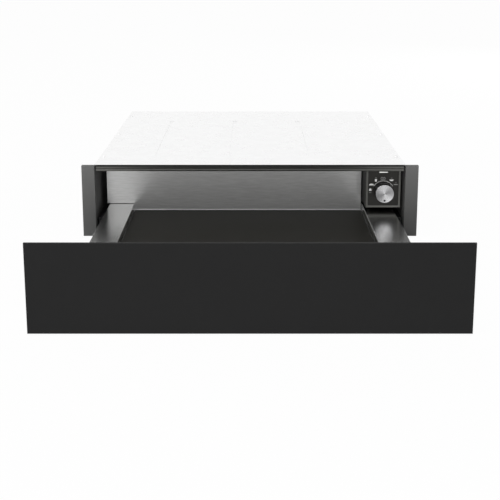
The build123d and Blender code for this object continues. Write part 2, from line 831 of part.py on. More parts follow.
def blower_scroll():
    """Sheet duct round the rotor, open below at the front for the inlet and above for the outlet."""
    duct = scroll_shape(scroll_outside, (duct_from, duct_to), duct_top)
    through = (duct_from - past, duct_to + past)
    duct -= scroll_shape(scroll_radius, through, duct_top - scroll_wall)
    inlet = (rotor_z - inlet_height / 2, rotor_z + inlet_height / 2)
    duct -= block(through, (blower_front - past, blower_front + inlet_reach), inlet)
    outlet = (rotor_z + outlet_above_rotor, duct_top - scroll_wall)
    return duct - block(through, (blower_front - past, blower_front + scroll_wall + snug), outlet)


def blower_ends():
    """End plates of the duct, with seats for the rotor's bushes and holes for the heater."""
    ends = []
    for x in ((duct_from - scroll_wall, duct_from), (duct_to, duct_to + scroll_wall)):
        plate = scroll_shape(scroll_outside, x, duct_top)
        plate -= rod("X", (rotor_y, rotor_z), bush_radius + snug, x[0] - past, x[1] + past)
        if x[0] > blower_offset:
            for y in heater_rows():
                plate -= rod("X", (y, heater_z()), heater_radius + snug, x[0] - past, x[1] + past)
        ends.append(plate)
    return ends


def rotor_bushes():
    """Two flanged sintered bushes in the end plates."""
    bushes = []
    axis = (rotor_y, rotor_z)
    for x, way in ((duct_from, -1), (duct_to, 1)):
        start = x - way * bush_proud
        end = start + way * bush_length
        seat = x + way * scroll_wall
        bush = rod("X", axis, bush_radius, start, end)
        bush += rod("X", axis, bush_collar_radius, seat, seat + way * bush_collar)
        bushes.append(bush - rod("X", axis, blower_shaft_radius + fit, start - way * past, end + way * past))
    return bushes


def fan_rotor():
    """Cross-flow rotor: a ring of raked blades between three discs."""
    across = Plane.YZ.offset(rotor_from)
    ring = rotor_radius - blade_chord / 2 - blade_margin
    blade = Pos(ring, 0) * Rot(0, 0, blade_angle) * Rectangle(blade_chord, blade_gauge)
    turns = [Rot(0, 0, 360 * i / blade_count) for i in range(blade_count)]
    blades = [across * (Pos(rotor_y, rotor_z) * (turn * blade)) for turn in turns]
    rotor = extrude(Sketch() + blades, amount=rotor_length)
    discs = (rotor_from, blower_offset - disc_gauge / 2, rotor_to - disc_gauge)
    for start in discs:
        rotor += rod("X", (rotor_y, rotor_z), rotor_radius, start, start + disc_gauge)
    bore = (rotor_from - past, rotor_to + past)
    return rotor - rod("X", (rotor_y, rotor_z), blower_shaft_radius + snug, *bore)


def motor_from():
    """X where the motor's stack starts."""
    return duct_to + scroll_wall + motor_gap


def blower_shaft():
    """Steel shaft through the rotor, with the motor's armature pressed on it."""
    start = duct_from - scroll_wall - bush_length / 2
    stack_end = motor_from() + motor_stack
    shaft = rod("X", (rotor_y, rotor_z), blower_shaft_radius, start, stack_end + motor_shaft_end)
    return shaft + rod("X", (rotor_y, rotor_z), armature_radius, motor_from(), stack_end)


def motor_core():
    """Laminated stack of the motor, bored for the armature and cut out for the coil."""
    x = (motor_from(), motor_from() + motor_stack)
    through = (x[0] - past, x[1] + past)
    low = rotor_z - motor_width / 2
    core = block(x, (rotor_y - motor_width / 2, rotor_y + motor_width / 2), (low, motor_top()))
    core = fillet(core.edges().filter_by(Axis.X), motor_corner)
    core -= rod("X", (rotor_y, rotor_z), armature_radius + armature_gap, *through)
    core -= block(through, *coil_window())
    for y in centred(rotor_y, motor_width - 2 * motor_pin_inset, 2):
        place = (y, low + motor_pin_inset)
        core += rod("X", place, motor_pin_radius, duct_to + scroll_wall, x[1] + motor_pin_end)
    return core


def motor_top():
    """Height of the stack's upper face."""
    return rotor_z - motor_width / 2 + motor_height


def coil_window():
    """Y and Z span of the opening in the stack that the coil's far side fills."""
    top = motor_top() - motor_leg
    return (rotor_y - coil_length / 2, rotor_y + coil_length / 2), (top - coil_wrap, top)


def motor_coil():
    """Winding round the upper leg of the stack."""
    (y0, y1), (_, leg_bottom) = coil_window()
    x = (motor_from(), motor_from() + motor_stack)
    wrap = coil_wrap - snug
    coil = block((x[0] - wrap, x[1] + wrap), (y0 + snug, y1 - snug), (leg_bottom - wrap, motor_top() + wrap))
    coil = fillet(coil.edges().filter_by(Axis.Y), min(coil_round, wrap / 2))
    leg = (leg_bottom - snug, motor_top() + snug)
    return coil - block((x[0] - snug, x[1] + snug), (y0 - past, y1 + past), leg)


def heater_z():
    """Height of the heater's legs in the outlet."""
    return duct_top - heater_below_duct


def heater_rows():
    """Y of the heater's two legs."""
    return rotor_y - heater_spacing / 2, rotor_y + heater_spacing / 2


def heating_element():
    """Hairpin heating rod across the outlet, with two terminal pins."""
    turn = duct_from + heater_spacing
    tail = duct_to + heater_tail
    front, back = heater_rows()
    z = heater_z()
    path = Polyline((tail, front, z), (turn, front, z))
    path += ThreePointArc((turn, front, z), (turn - heater_spacing / 2, rotor_y, z), (turn, back, z))
    path += Polyline((turn, back, z), (tail, back, z))
    start = Plane(origin=(tail, front, z), z_dir=(-1, 0, 0))
    element = sweep(start * Circle(heater_radius), path=path)
    for y in (front, back):
        element += rod("X", (y, z), heater_pin_radius, tail, tail + heater_pin_length)
    return element


def heater_clips():
    """Two plates that hang the heating rod from the duct's top."""
    clips = []
    front, back = heater_rows()
    z = heater_z()
    reach = heater_radius + clip_margin
    hung = (z - reach, duct_top - scroll_wall)
    for x in spread(duct_from + clip_inset, duct_to - clip_inset, 2):
        plate = block((x, x + clip_thickness), (front - reach, back + reach), hung)
        for leg in (front, back):
            plate -= rod("X", (leg, z), heater_radius + snug, x - past, x + clip_thickness + past)
        clips.append(plate)
    return clips


def thermal_cutout():
    """Snap-disc thermostat on the duct's left end, with its two tags."""
    face = duct_from - scroll_wall
    place = (rotor_y, (rotor_z + duct_top) / 2)
    disc = rod("X", place, cutout_radius, face, face - cutout_height)
    disc = fillet(disc.edges().sort_by(Axis.X)[0], cutout_round)
    tags = (face - cutout_height - tag_length, face - cutout_height)
    z = (place[1] - tag_width / 2, place[1] + tag_width / 2)
    for y in centred(rotor_y, cutout_radius, 2):
        disc += block(tags, (y - tag_gauge / 2, y + tag_gauge / 2), z)
    return disc


# ---- Latch, door switch and mains entry ----------------------------------------------------
def striker_back():
    """Y of the closed striker's rear face."""
    return drawer_rear - loose


def latch_front():
    """Y of the latch's front face."""
    return drawer_rear + latch_setback


def latch_body():
    """Touch-latch case on the base, with the bore of its plunger."""
    x = (-latch_width / 2, latch_width / 2)
    case = block(x, (latch_front(), latch_front() + latch_length), (sheet, sheet + latch_height))
    case = fillet(case.edges().filter_by(Axis.Z), latch_corner)
    depth = latch_front() + plunger_engagement + plunger_travel + loose
    return case - rod("Y", (0, plunger_z), plunger_radius + 2 * fit, latch_front() - past, depth)


def latch_plunger():
    """Sprung plunger that the drawer's striker pushes, with a domed rubber tip."""
    tip = striker_back() + striker_gap
    plunger = rod("Y", (0, plunger_z), plunger_radius, tip, latch_front() + plunger_engagement)
    return fillet(plunger.edges().sort_by(Axis.Y)[0], plunger_radius * tip_round)


def door_switch_front():
    """Y of the door switch's front face."""
    return striker_back() + striker_gap + button_travel + button_stand


def door_switch():
    """Small switch on the base, with the bore of its button."""
    front = door_switch_front()
    x = (switch_spacing - door_switch_width / 2, switch_spacing + door_switch_width / 2)
    case = block(x, (front, front + door_switch_length), (sheet, sheet + door_switch_height))
    tail = front + door_switch_length
    for x in centred(switch_spacing, door_switch_tag_pitch, 3):
        case += spade_tag((x, plunger_z), tail, tail + tag_length)
    depth = front + button_engagement + button_travel + loose
    return case - rod("Y", (switch_spacing, plunger_z), button_radius + fit, front - past, depth)


def switch_button():
    """Button of the door switch, standing out to the closed striker."""
    end = door_switch_front() + button_engagement
    button = rod("Y", (switch_spacing, plunger_z), button_radius, striker_back() + striker_gap, end)
    return fillet(button.edges().sort_by(Axis.Y)[0], button_radius * tip_round)


def gland_centre():
    """X and Z of the cable gland."""
    return -cavity_half + gland_inset, gland_height


def cable_gland():
    """Bushing in the rear wall that the mains lead passes through."""
    centre = gland_centre()
    start = rear_inside - gland_length / 2
    gland = rod("Y", centre, gland_body_radius, start, start + gland_length)
    gland += rod("Y", centre, gland_flange_radius, body_depth, body_depth + gland_flange)
    gland += rod("Y", centre, gland_nut_radius, rear_inside - gland_flange, rear_inside)
    end = max(start + gland_length, body_depth + gland_flange)
    return gland - rod("Y", centre, gland_bore, start - past, end + past)


def terminal_block():
    """Mains terminal block on the base, with a screw well and a wire hole for each way."""
    start = gland_centre()[0] + terminal_gap
    middle = start + terminal_length / 2
    back = rear_inside - terminal_rear_gap
    front = back - terminal_depth
    top = sheet + terminal_height
    case = block((start, start + terminal_length), (front, back), (sheet, top))
    pitch = terminal_length / terminal_count
    through = (front - past, back + past)
    for x in centred(middle, pitch, terminal_count):
        well = (x, (front + back) / 2)
        case -= rod("Z", well, terminal_well_radius, top - terminal_well_depth, top + past)
        case -= rod("Y", (x, sheet + terminal_wire_height), terminal_wire_radius, *through)
    for x in centred(middle, pitch, terminal_count - 1):
        notch = (x - terminal_notch_width / 2, x + terminal_notch_width / 2)
        case -= block(notch, through, (top - terminal_notch_depth, top + past))
    return case


# ---- Drawer --------------------------------------------------------------------------------
def front_panel():
    """Plain front skin with eased edges."""
    skin = block(
        (-half_width, half_width),
        (panel_face, panel_back - backplate_gauge),
        (panel_bottom, panel_bottom + panel_height),
    )
    return fillet(skin.faces().sort_by(Axis.Y)[0].edges(), panel_edge_radius)


def panel_backplate():
    """Steel plate behind the skin, tapped for the carrier's screws."""
    plate = block(
        (-half_width + backplate_inset, half_width - backplate_inset),
        (panel_back - backplate_gauge, panel_back),
        (panel_bottom + backplate_inset, panel_bottom + panel_height - backplate_inset),
    )
    for place in carrier_screw_places:
        plate -= screw_hole(place, FORWARD, carrier_screw_length)
    return plate


def panel_bumpers():
    """Rubber pads at the panel's corners that meet the trims when the drawer is closed."""
    x = half_width - trim_width / 2
    low = panel_bottom + backplate_inset + bumper_inset
    high = panel_bottom + panel_height - backplate_inset - bumper_inset
    pads = []
    for side in (-1, 1):
        for z in (low, high):
            pad = rod("Y", (side * x, z), bumper_radius, panel_back, trim_front - loose)
            pads.append(fillet(pad.edges().sort_by(Axis.Y)[-1], bumper_round))
    return pads


def panel_carrier():
    """Channel behind the panel that joins it to the tray."""
    across = (-carrier_half, carrier_half)
    y = (panel_back, panel_back + carrier_depth)
    carrier = block(across, (y[0], y[0] + sheet), (carrier_bottom, carrier_top))
    carrier += block(across, y, (carrier_bottom, carrier_bottom + sheet))
    carrier += block(across, y, (carrier_top - sheet, carrier_top))
    for place in carrier_screw_places:
        carrier -= screw_hole(place, FORWARD, carrier_screw_length)
    return carrier


def drawer_tray():
    """Pressed steel tray: a shallow basin between ledges, with folded outer edges."""
    low = basin_floor - sheet
    ledge = (ledge_height - sheet, ledge_height)
    walls = (low, ledge_height)
    y = (tray_front, drawer_rear)
    rear_wall = (back_y + sheet, back_y + 2 * sheet)
    tray = block((-ledge_half, basin_left), y, ledge) + block((basin_right, ledge_half), y, ledge)
    tray += block((basin_left, basin_right), (tray_front, basin_front), ledge)
    tray += block((basin_left, basin_right), (rear_wall[0], drawer_rear), ledge)
    basin = (basin_front - sheet, rear_wall[1])
    tray += block((basin_left - sheet, basin_right + sheet), basin, (low, basin_floor))
    tray += block((basin_left - sheet, basin_left), basin, walls)
    tray += block((basin_right, basin_right + sheet), basin, walls)
    tray += block((basin_left, basin_right), (basin_front - sheet, basin_front), walls)
    tray += block((basin_left, basin_right), rear_wall, walls)
    lip = (slide_top + 2 * loose, ledge_height)
    tray += block((-ledge_half, sheet - ledge_half), y, lip)
    tray += block((ledge_half - sheet, ledge_half), y, lip)
    tray += block((-ledge_half, ledge_half), (tray_front, tray_front + sheet), (low, ledge_height))
    tray += block((-ledge_half, ledge_half), (drawer_rear - sheet, drawer_rear), lip)
    folds = [
        edge
        for edge in tray.edges().filter_by(Axis.Y).group_by(Axis.Z)[-1]
        if edge.length > ledge_height
    ]
    tray = fillet(folds, min(tray_edge_radius, sheet * 0.9))
    for place in carrier_screw_places:
        tray -= screw_hole(place, FORWARD, carrier_screw_length)
    return tray


def drawer_back():
    """Tall sheet at the rear of the drawer, with folded edges and a row of air slots at its top."""
    y = (back_y, back_y + sheet)
    returns = (back_y, back_y + back_return)
    low = ledge_height + back_joint
    back = block((back_left, back_right), y, (low, back_top))
    back += block((basin_left, min(back_right, basin_right)), y, (basin_floor, low))
    back += block((back_left, back_right), returns, (back_top - sheet, back_top))
    back += block((back_left, back_left + sheet), returns, (low, back_top))
    back += block((back_right - sheet, back_right), returns, (low, back_top))
    back += block((back_left, basin_left - sheet), returns, (low, low + sheet))
    hem_z = basin_floor + mat_thickness + hem_radius + loose
    back += rod("X", (back_y, hem_z), hem_radius, basin_left, min(back_right, basin_right))
    slot_top = back_top - sheet - air_slot_margin
    pitch = (back_right - back_left - air_slot_length) / air_slot_count
    for x in centred((back_left + back_right) / 2, pitch, air_slot_count):
        slot = (x - air_slot_length / 2, x + air_slot_length / 2)
        back -= block(slot, (y[0] - past, y[1] + past), (slot_top - air_slot_height, slot_top))
    return back


def floor_mat():
    """Non-slip glass floor of the basin."""
    mat = block(
        (basin_left + mat_margin, basin_right - mat_margin),
        (basin_front + mat_margin, back_y - loose),
        (basin_floor, basin_floor + mat_thickness),
    )
    return fillet(mat.faces().sort_by(Axis.Z)[-1].edges(), mat_edge_radius)


def runner_bracket():
    """Angle under the right ledge that the drawer's runner member is fixed to."""
    y = (slide_front + loose, inner_span()[1])
    upright = block((runner_x - sheet, runner_x), y, (slide_bottom, ledge_height - sheet))
    foot = block((runner_x - flange, runner_x), y, (ledge_height - 2 * sheet, ledge_height - sheet))
    return upright + foot


def latch_striker():
    """Angle under the basin that meets the latch and the door switch."""
    x = (-latch_width / 2, switch_spacing + door_switch_width / 2)
    back = striker_back()
    top = basin_floor - sheet
    plate = block(x, (back - striker_thickness, back), (sheet + striker_floor_gap, top))
    foot_front = back_y - flange
    return plate + block(x, (foot_front, back), (top - striker_thickness, top))


# ---- Assembly ------------------------------------------------------------------------------
def on_right(make):
    """A one-sided piece as it is made."""
    return make()


def on_left(make):
    """The mirror image of a one-sided piece."""
    made = make()
    if isinstance(made, list):
        return [mirror(piece, about=Plane.YZ) for piece in made]
    return mirror(made, about=Plane.YZ)


housing_parts = {
    "base_pan": base_pan(),
    "left_side_panel": on_left(side_panel),
    "right_side_panel": on_right(side_panel),
    "rear_panel": rear_panel(),
    "top_cover": top_cover(),
    "left_trim": on_left(front_trim),
    "right_trim": on_right(front_trim),
    "front_rail": front_rail(),
    "slide_brackets": both_sides(slide_bracket()),
    "left_slide_outer": on_left(slide_outer),
    "right_slide_outer": on_right(slide_outer),
    "slide_buffers": both_sides(slide_buffer()),
    "control_box": control_box(),
    "control_bezel": control_bezel(),
    "control_fascia": control_fascia(),
    "pilot_lens": pilot_lens(),
    "pilot_lamp": pilot_lamp(),
    "rotary_switch": rotary_switch(),
    "control_board": control_board(),
    "board_components": board_components(),
    "blower_scroll": blower_scroll(),
    "blower_ends": blower_ends(),
    "rotor_bushes": rotor_bushes(),
    "motor_core": motor_core(),
    "motor_coil": motor_coil(),
    "heating_element": heating_element(),
    "heater_clips": heater_clips(),
    "thermal_cutout": thermal_cutout(),
    "latch_body": latch_body(),
    "door_switch": door_switch(),
    "cable_gland": cable_gland(),
    "terminal_block": terminal_block(),
    "cover_screws": [screw(place, DOWN) for place in cover_screw_places],
    "rear_screws": [screw(place, FORWARD) for place in rear_screw_places],
}
drawer_parts = {
    "front_panel": front_panel(),
    "panel_backplate": panel_backplate(),
    "panel_bumpers": panel_bumpers(),
    "panel_carrier": panel_carrier(),
    "drawer_tray": drawer_tray(),
    "drawer_back": drawer_back(),
    "floor_mat": floor_mat(),
    "runner_brackets": both_sides(runner_bracket()),
    "left_slide_inner": on_left(slide_inner),
    "right_slide_inner": on_right(slide_inner),
    "latch_striker": latch_striker(),
    "carrier_screws": [screw(place, FORWARD, carrier_screw_length) for place in carrier_screw_places],
}
bodies = [
    (0, housing_parts),
    (travel, drawer_parts),
    (travel / 2, {"left_slide_middle": on_left(slide_middle), "right_slide_middle": on_right(slide_middle)}),
    (travel / 4, {"left_outer_cage": on_left(outer_cage), "right_outer_cage": on_right(outer_cage)}),
    (travel * 3 / 4, {"left_inner_cage": on_left(inner_cage), "right_inner_cage": on_right(inner_cage)}),
    (0, {"knob_cap": knob_cap(), "knob_body": knob_body(), "knob_shaft": knob_shaft()}),
    (0, {"fan_rotor": fan_rotor(), "blower_shaft": blower_shaft()}),
    (0, {"latch_plunger": latch_plunger()}),
    (0, {"switch_button": switch_button()}),
]

os.makedirs("parts", exist_ok=True)
for forward, parts in bodies:
    for name, made in parts.items():
        pieces = made if isinstance(made, list) else [made]
        solids = [solid for piece in pieces for solid in piece.solids()]
        moved = [Pos(0, -forward, 0) * solid for solid in solids]
        export_step(Compound(children=moved) if len(moved) > 1 else moved[0], f"parts/{name}.step")
        print(f"{name}: {len(moved)} solid(s), {sum(s.volume for s in moved):.0f} mm3")
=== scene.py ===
"""Looks of a built-in warming drawer.

Holds the finishes, printed marks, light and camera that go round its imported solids.
"""

import logging
import math
from dataclasses import dataclass, field
from enum import Enum
from typing import Any, Optional, Sequence, Union

import bmesh
import bpy
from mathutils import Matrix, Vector


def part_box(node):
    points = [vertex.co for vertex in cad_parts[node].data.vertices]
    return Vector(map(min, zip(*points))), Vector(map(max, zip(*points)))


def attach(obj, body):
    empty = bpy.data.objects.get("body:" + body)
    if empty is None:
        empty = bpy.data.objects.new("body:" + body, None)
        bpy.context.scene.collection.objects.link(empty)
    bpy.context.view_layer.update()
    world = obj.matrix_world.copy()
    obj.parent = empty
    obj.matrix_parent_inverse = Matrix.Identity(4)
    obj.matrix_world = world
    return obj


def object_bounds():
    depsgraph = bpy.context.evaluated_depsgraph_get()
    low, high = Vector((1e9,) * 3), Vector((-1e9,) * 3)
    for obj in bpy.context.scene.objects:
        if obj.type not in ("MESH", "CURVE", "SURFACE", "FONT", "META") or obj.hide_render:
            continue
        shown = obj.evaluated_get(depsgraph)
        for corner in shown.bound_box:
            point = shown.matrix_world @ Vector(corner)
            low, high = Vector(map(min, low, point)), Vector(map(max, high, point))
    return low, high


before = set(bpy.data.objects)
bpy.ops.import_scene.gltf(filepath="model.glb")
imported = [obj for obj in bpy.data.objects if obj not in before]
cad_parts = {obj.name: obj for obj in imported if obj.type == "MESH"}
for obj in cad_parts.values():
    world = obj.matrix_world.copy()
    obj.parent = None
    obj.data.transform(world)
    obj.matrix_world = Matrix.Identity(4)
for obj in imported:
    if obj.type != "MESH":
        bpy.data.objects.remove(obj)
CAD_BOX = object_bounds()

PHOTO_SIDE = 500            # pixels of the photograph along each side
MM = 0.001
FULL_TURN = 2 * math.pi

log = logging.getLogger("warming_drawer")

Colour = tuple[float, float, float]
Point = tuple[float, float]
Place = tuple[float, float, float]
Sockets = dict[str, Any]

WHITE: Colour = (1.0, 1.0, 1.0)


# ---- Shader expressions ----------------------------------------------------------------------
class Signal:
    """An output socket that takes part in Python expressions."""

    def __init__(self, sheet: "ShaderSheet", socket: bpy.types.NodeSocket) -> None:
        """Wraps socket, which belongs to a node of sheet."""
        self.sheet = sheet
        self.socket = socket

    def __add__(self, other: "Term") -> "Signal":
        """Sum."""
        return self.sheet.maths("ADD", self, other)

    __radd__ = __add__

    def __sub__(self, other: "Term") -> "Signal":
        """Difference."""
        return self.sheet.maths("SUBTRACT", self, other)

    def __rsub__(self, other: "Term") -> "Signal":
        """Difference, from a number."""
        return self.sheet.maths("SUBTRACT", other, self)

    def __mul__(self, other: "Term") -> "Signal":
        """Product."""
        return self.sheet.maths("MULTIPLY", self, other)

    __rmul__ = __mul__

    def __truediv__(self, other: "Term") -> "Signal":
        """Quotient."""
        return self.sheet.maths("DIVIDE", self, other)

    def __pow__(self, other: "Term") -> "Signal":
        """Power."""
        return self.sheet.maths("POWER", self, other)

    def clipped(self) -> "Signal":
        """The same value, kept from 0 to 1."""
        return self.sheet.maths("ADD", self, 0.0, clamp=True)

    def largest(self, other: "Term") -> "Signal":
        """The larger of two values."""
        return self.sheet.maths("MAXIMUM", self, other)

    def sine(self) -> "Signal":
        """Sine of the value, in radians."""
        return self.sheet.maths("SINE", self, 0.0)

    def ripple(self, pitch: float) -> "Signal":
        """A wave from -1 to 1 that comes back at each pitch of the value."""
        return (self * (FULL_TURN / pitch)).sine()


Term = Union[Signal, float]


class ShaderSheet:
    """Node tree of one material or of the world."""

    def __init__(self, tree: bpy.types.NodeTree) -> None:
        """Empties tree and draws in it."""
        self.tree = tree
        tree.nodes.clear()

    def node(
        self,
        kind: str,
        settings: Optional[dict[str, Any]] = None,
        sockets: Optional[dict[Union[str, int], Any]] = None,
    ) -> bpy.types.Node:
        """Adds one node.

        Args:
            kind: the node's type.
            settings: its own options, set first.
            sockets: a value, a Signal or an output socket for each input named.

        Returns:
            The node.
        """
        made = self.tree.nodes.new(kind)
        for option, value in (settings or {}).items():
            setattr(made, option, value)
        for key, value in (sockets or {}).items():
            if isinstance(value, Signal):
                self.tree.links.new(value.socket, made.inputs[key])
            elif isinstance(value, bpy.types.NodeSocket):
                self.tree.links.new(value, made.inputs[key])
            else:
                made.inputs[key].default_value = value
        return made

    def out(self, node: bpy.types.Node, output: Union[str, int] = 0) -> Signal:
        """One output of a node as a Signal."""
        return Signal(self, node.outputs[output])

    def maths(self, operation: str, first: Term, second: Term, clamp: bool = False) -> Signal:
        """One Math node on two values."""
        settings = {"operation": operation, "use_clamp": clamp}
        return self.out(self.node("ShaderNodeMath", settings, {0: first, 1: second}))

    def place(self) -> Signal:
        """Place on the object, in the row frame at rest and in metres."""
        return self.out(self.node("ShaderNodeTexCoord"), "Object")

    def along(self, place: Signal) -> tuple[Signal, Signal, Signal]:
        """The X, Y and Z of a place."""
        made = self.node("ShaderNodeSeparateXYZ", sockets={0: place})
        return self.out(made, 0), self.out(made, 1), self.out(made, 2)

    def point(self, x: Term, y: Term, z: Term) -> Signal:
        """A place from its X, Y and Z."""
        return self.out(self.node("ShaderNodeCombineXYZ", sockets={0: x, 1: y, 2: z}))

    def stretched(self, place: Signal, factors: Place) -> Signal:
        """A place with each axis multiplied by its factor."""
        made = self.node("ShaderNodeVectorMath", {"operation": "MULTIPLY"}, {0: place, 1: factors})
        return self.out(made)

    def noise(self, place: Signal, scale: float, detail: float = 2.0, rough: float = 0.5) -> Signal:
        """Soft noise from 0 to 1 about 0.5."""
        sockets = {"Vector": place, "Scale": scale, "Detail": detail, "Roughness": rough}
        return self.out(self.node("ShaderNodeTexNoise", sockets=sockets), 0)

    def swing(self, place: Signal, scale: float, detail: float = 2.0, rough: float = 0.5) -> Signal:
        """Soft noise from -1 to 1 about 0."""
        return (self.noise(place, scale, detail, rough) - 0.5) * 2.0

    def blend(
        self,
        share: Term,
        first: Union[Signal, Colour],
        second: Union[Signal, Colour],
    ) -> Signal:
        """Colour between two others."""
        sockets = {"Factor": share, 6: opaque(first), 7: opaque(second)}
        return self.out(self.node("ShaderNodeMix", {"data_type": "RGBA"}, sockets), 2)

    def shaded(self, colour: Colour, change: Signal) -> Signal:
        """A colour multiplied by a value that varies about 1."""
        sockets = {0: colour, "Scale": change}
        return self.out(self.node("ShaderNodeVectorMath", {"operation": "SCALE"}, sockets))

    def bump(self, height: Signal, depth: float) -> Signal:
        """Surface normal from a height of 0 to 1 that stands for depth in metres."""
        sockets = {"Height": height, "Distance": depth, "Strength": 1.0}
        return self.out(self.node("ShaderNodeBump", sockets=sockets))


def opaque(colour: Union[Signal, Colour]) -> Any:
    """A colour as a socket takes it: a link as it is, three numbers with an alpha of 1."""
    return colour if isinstance(colour, Signal) else (*colour, 1.0)


# ---- Finishes --------------------------------------------------------------------------------
class Axis(Enum):
    """Axes of the row frame."""

    X = 0
    Y = 1
    Z = 2


class Finish:
    """A surface finish, which makes its material once."""

    name: str
    _materials: dict[str, bpy.types.Material] = {}

    def fill(self, sheet: ShaderSheet) -> Sockets:
        """Works out the Principled shader's sockets; each finish gives its own.

        Args:
            sheet: the material's empty node tree.

        Returns:
            A value or link for each socket named.
        """
        raise NotImplementedError

    def material(self) -> bpy.types.Material:
        """Makes the material at the first call, and finds it at later ones.

        Returns:
            The finish's material.
        """
        if self.name not in self._materials:
            made = bpy.data.materials.new(self.name)
            made.use_nodes = True
            sheet = ShaderSheet(made.node_tree)
            shader = sheet.node("ShaderNodeBsdfPrincipled", sockets=self.fill(sheet))
            sheet.node("ShaderNodeOutputMaterial", sockets={"Surface": shader.outputs[0]})
            self._materials[self.name] = made
        return self._materials[self.name]

    def dress(self, *pieces: bpy.types.Object) -> None:
        """Gives the pieces this finish alone.

        Args:
            pieces: what it covers.
        """
        for piece in pieces:
            piece.data.materials.clear()
            piece.data.materials.append(self.material())
            log.info("%s: %s", piece.name, self.name)


@dataclass(frozen=True)
class Coat(Finish):
    """Powder or stove coat on sheet metal, with a fine orange peel."""

    name: str
    colour: Colour
    roughness: float
    metallic: float = 0.0
    specular: float = 0.5
    peel: float = 0.9 * MM
    depth: float = 0.006 * MM
    cloud_scale: float = 14.0       # soft patches in a metre
    mottle: float = 0.06            # share by which they change the colour
    gloss_change: float = 0.04      # what they add to the roughness

    def fill(self, sheet: ShaderSheet) -> Sockets:
        """Works out a coat's sockets.

        Args:
            sheet: the material's empty node tree.

        Returns:
            A value or link for each socket named.
        """
        place = sheet.place()
        peel = sheet.noise(place, 1.0 / self.peel, detail=3.0, rough=0.6)
        cloud = sheet.swing(place, self.cloud_scale, detail=3.0)
        return {
            "Base Color": sheet.shaded(self.colour, 1.0 + cloud * self.mottle),
            "Metallic": self.metallic,
            "Roughness": self.roughness + cloud * self.gloss_change,
            "Specular IOR Level": self.specular,
            "Normal": sheet.bump(peel, self.depth),
        }


@dataclass(frozen=True)
class RailCoat(Coat):
    """Satin coat of the top rail: a lip that mirrors less than the band, as painted light on its
    upper part and painted shade below it, and a matt crown.
    """

    lip_low: float = 0.0            # heights between which the lip mirrors less: painted light on its upper part, painted shade below
    lip_high: float = 0.0
    painted_lip_metallic: float = 0.0
    crown: float = 0.0              # height above which the coat is matt
    crown_colour: Colour = (0.0, 0.0, 0.0)
    crown_roughness: float = 0.8
    softness: float = 0.2 * MM

    def fill(self, sheet: ShaderSheet) -> Sockets:
        """Works out a coat's sockets and changes them on the lip, as painted light and shade, and
        on the crown.

        Args:
            sheet: the material's empty node tree.

        Returns:
            A value or link for each socket named.
        """
        sockets = super().fill(sheet)
        _, _, z = sheet.along(sheet.place())
        past_low, past_high, matt = (
            ((z - height) / self.softness).clipped()
            for height in (self.lip_low, self.lip_high, self.crown)
        )
        # painted light and shade: between its two heights the lip takes more diffuse light, so it
        # looks lit from above, while its lower part keeps the band's darker mirror
        painted_lip = past_low - past_high
        metallic = painted_lip * (self.painted_lip_metallic - self.metallic) + self.metallic
        rougher = matt * (self.crown_roughness - self.roughness)
        sockets["Base Color"] = sheet.blend(matt, sockets["Base Color"], self.crown_colour)
        sockets["Metallic"] = (1.0 - matt) * metallic
        sockets["Roughness"] = sockets["Roughness"] + rougher
        return sockets


@dataclass(frozen=True)
class BrushedSteel(Finish):
    """Stainless sheet with a brushed grain along one axis."""

    name: str
    colour: Colour
    roughness: float
    metallic: float = 1.0
    grain_axis: Axis = Axis.X
    grain: float = 0.22 * MM
    grain_length: float = 30.0 * MM
    depth: float = 0.010 * MM
    streak: float = 0.05            # share by which the streaks change the colour
    streak_width: float = 1.8 * MM
    streak_length: float = 90.0 * MM
    gloss_share: float = 0.5        # of that share, what changes the roughness

    def _scale(self, across: float, along: float) -> Place:
        """Works out a noise's scale on each axis.

        Args:
            across: the pattern's width.
            along: its length on the grain's axis.

        Returns:
            The scale along X, Y and Z.
        """
        scale = [1.0 / across] * 3
        scale[self.grain_axis.value] = 1.0 / along
        return tuple(scale)

    def fill(self, sheet: ShaderSheet) -> Sockets:
        """Works out brushed steel's sockets.

        Args:
            sheet: the material's empty node tree.

        Returns:
            A value or link for each socket named.
        """
        place = sheet.place()
        fine = sheet.stretched(place, self._scale(self.grain, self.grain_length))
        wide = sheet.stretched(place, self._scale(self.streak_width, self.streak_length))
        hair = sheet.noise(fine, 1.0)
        streak = sheet.swing(wide, 1.0, detail=4.0, rough=0.65)
        return {
            "Base Color": sheet.shaded(self.colour, 1.0 + streak * self.streak),
            "Metallic": self.metallic,
            "Roughness": self.roughness + streak * self.streak * self.gloss_share,
            "Normal": sheet.bump(hair, self.depth),
        }


@dataclass(frozen=True)
class BeadedSteel(BrushedSteel):
    """Brushed sheet with a painted highlight on the bead along its lower edge."""

    bead_top: float = 0.0
    bead_highlight_gain: float = 1.45
    softness: float = 0.2 * MM

    def fill(self, sheet: ShaderSheet) -> Sockets:
        """Works out brushed steel's sockets, with a painted highlight below the bead's top.

        Args:
            sheet: the material's empty node tree.

        Returns:
            A value or link for each socket named.
        """
        sockets = super().fill(sheet)
        _, _, z = sheet.along(sheet.place())
        above = ((z - self.bead_top) / self.softness).clipped()
        # painted highlight: the bead's colour made lighter for the light that it catches
        bright = tuple(part * self.bead_highlight_gain for part in self.colour)
        sockets["Base Color"] = sheet.blend(above, bright, sockets["Base Color"])
        return sockets


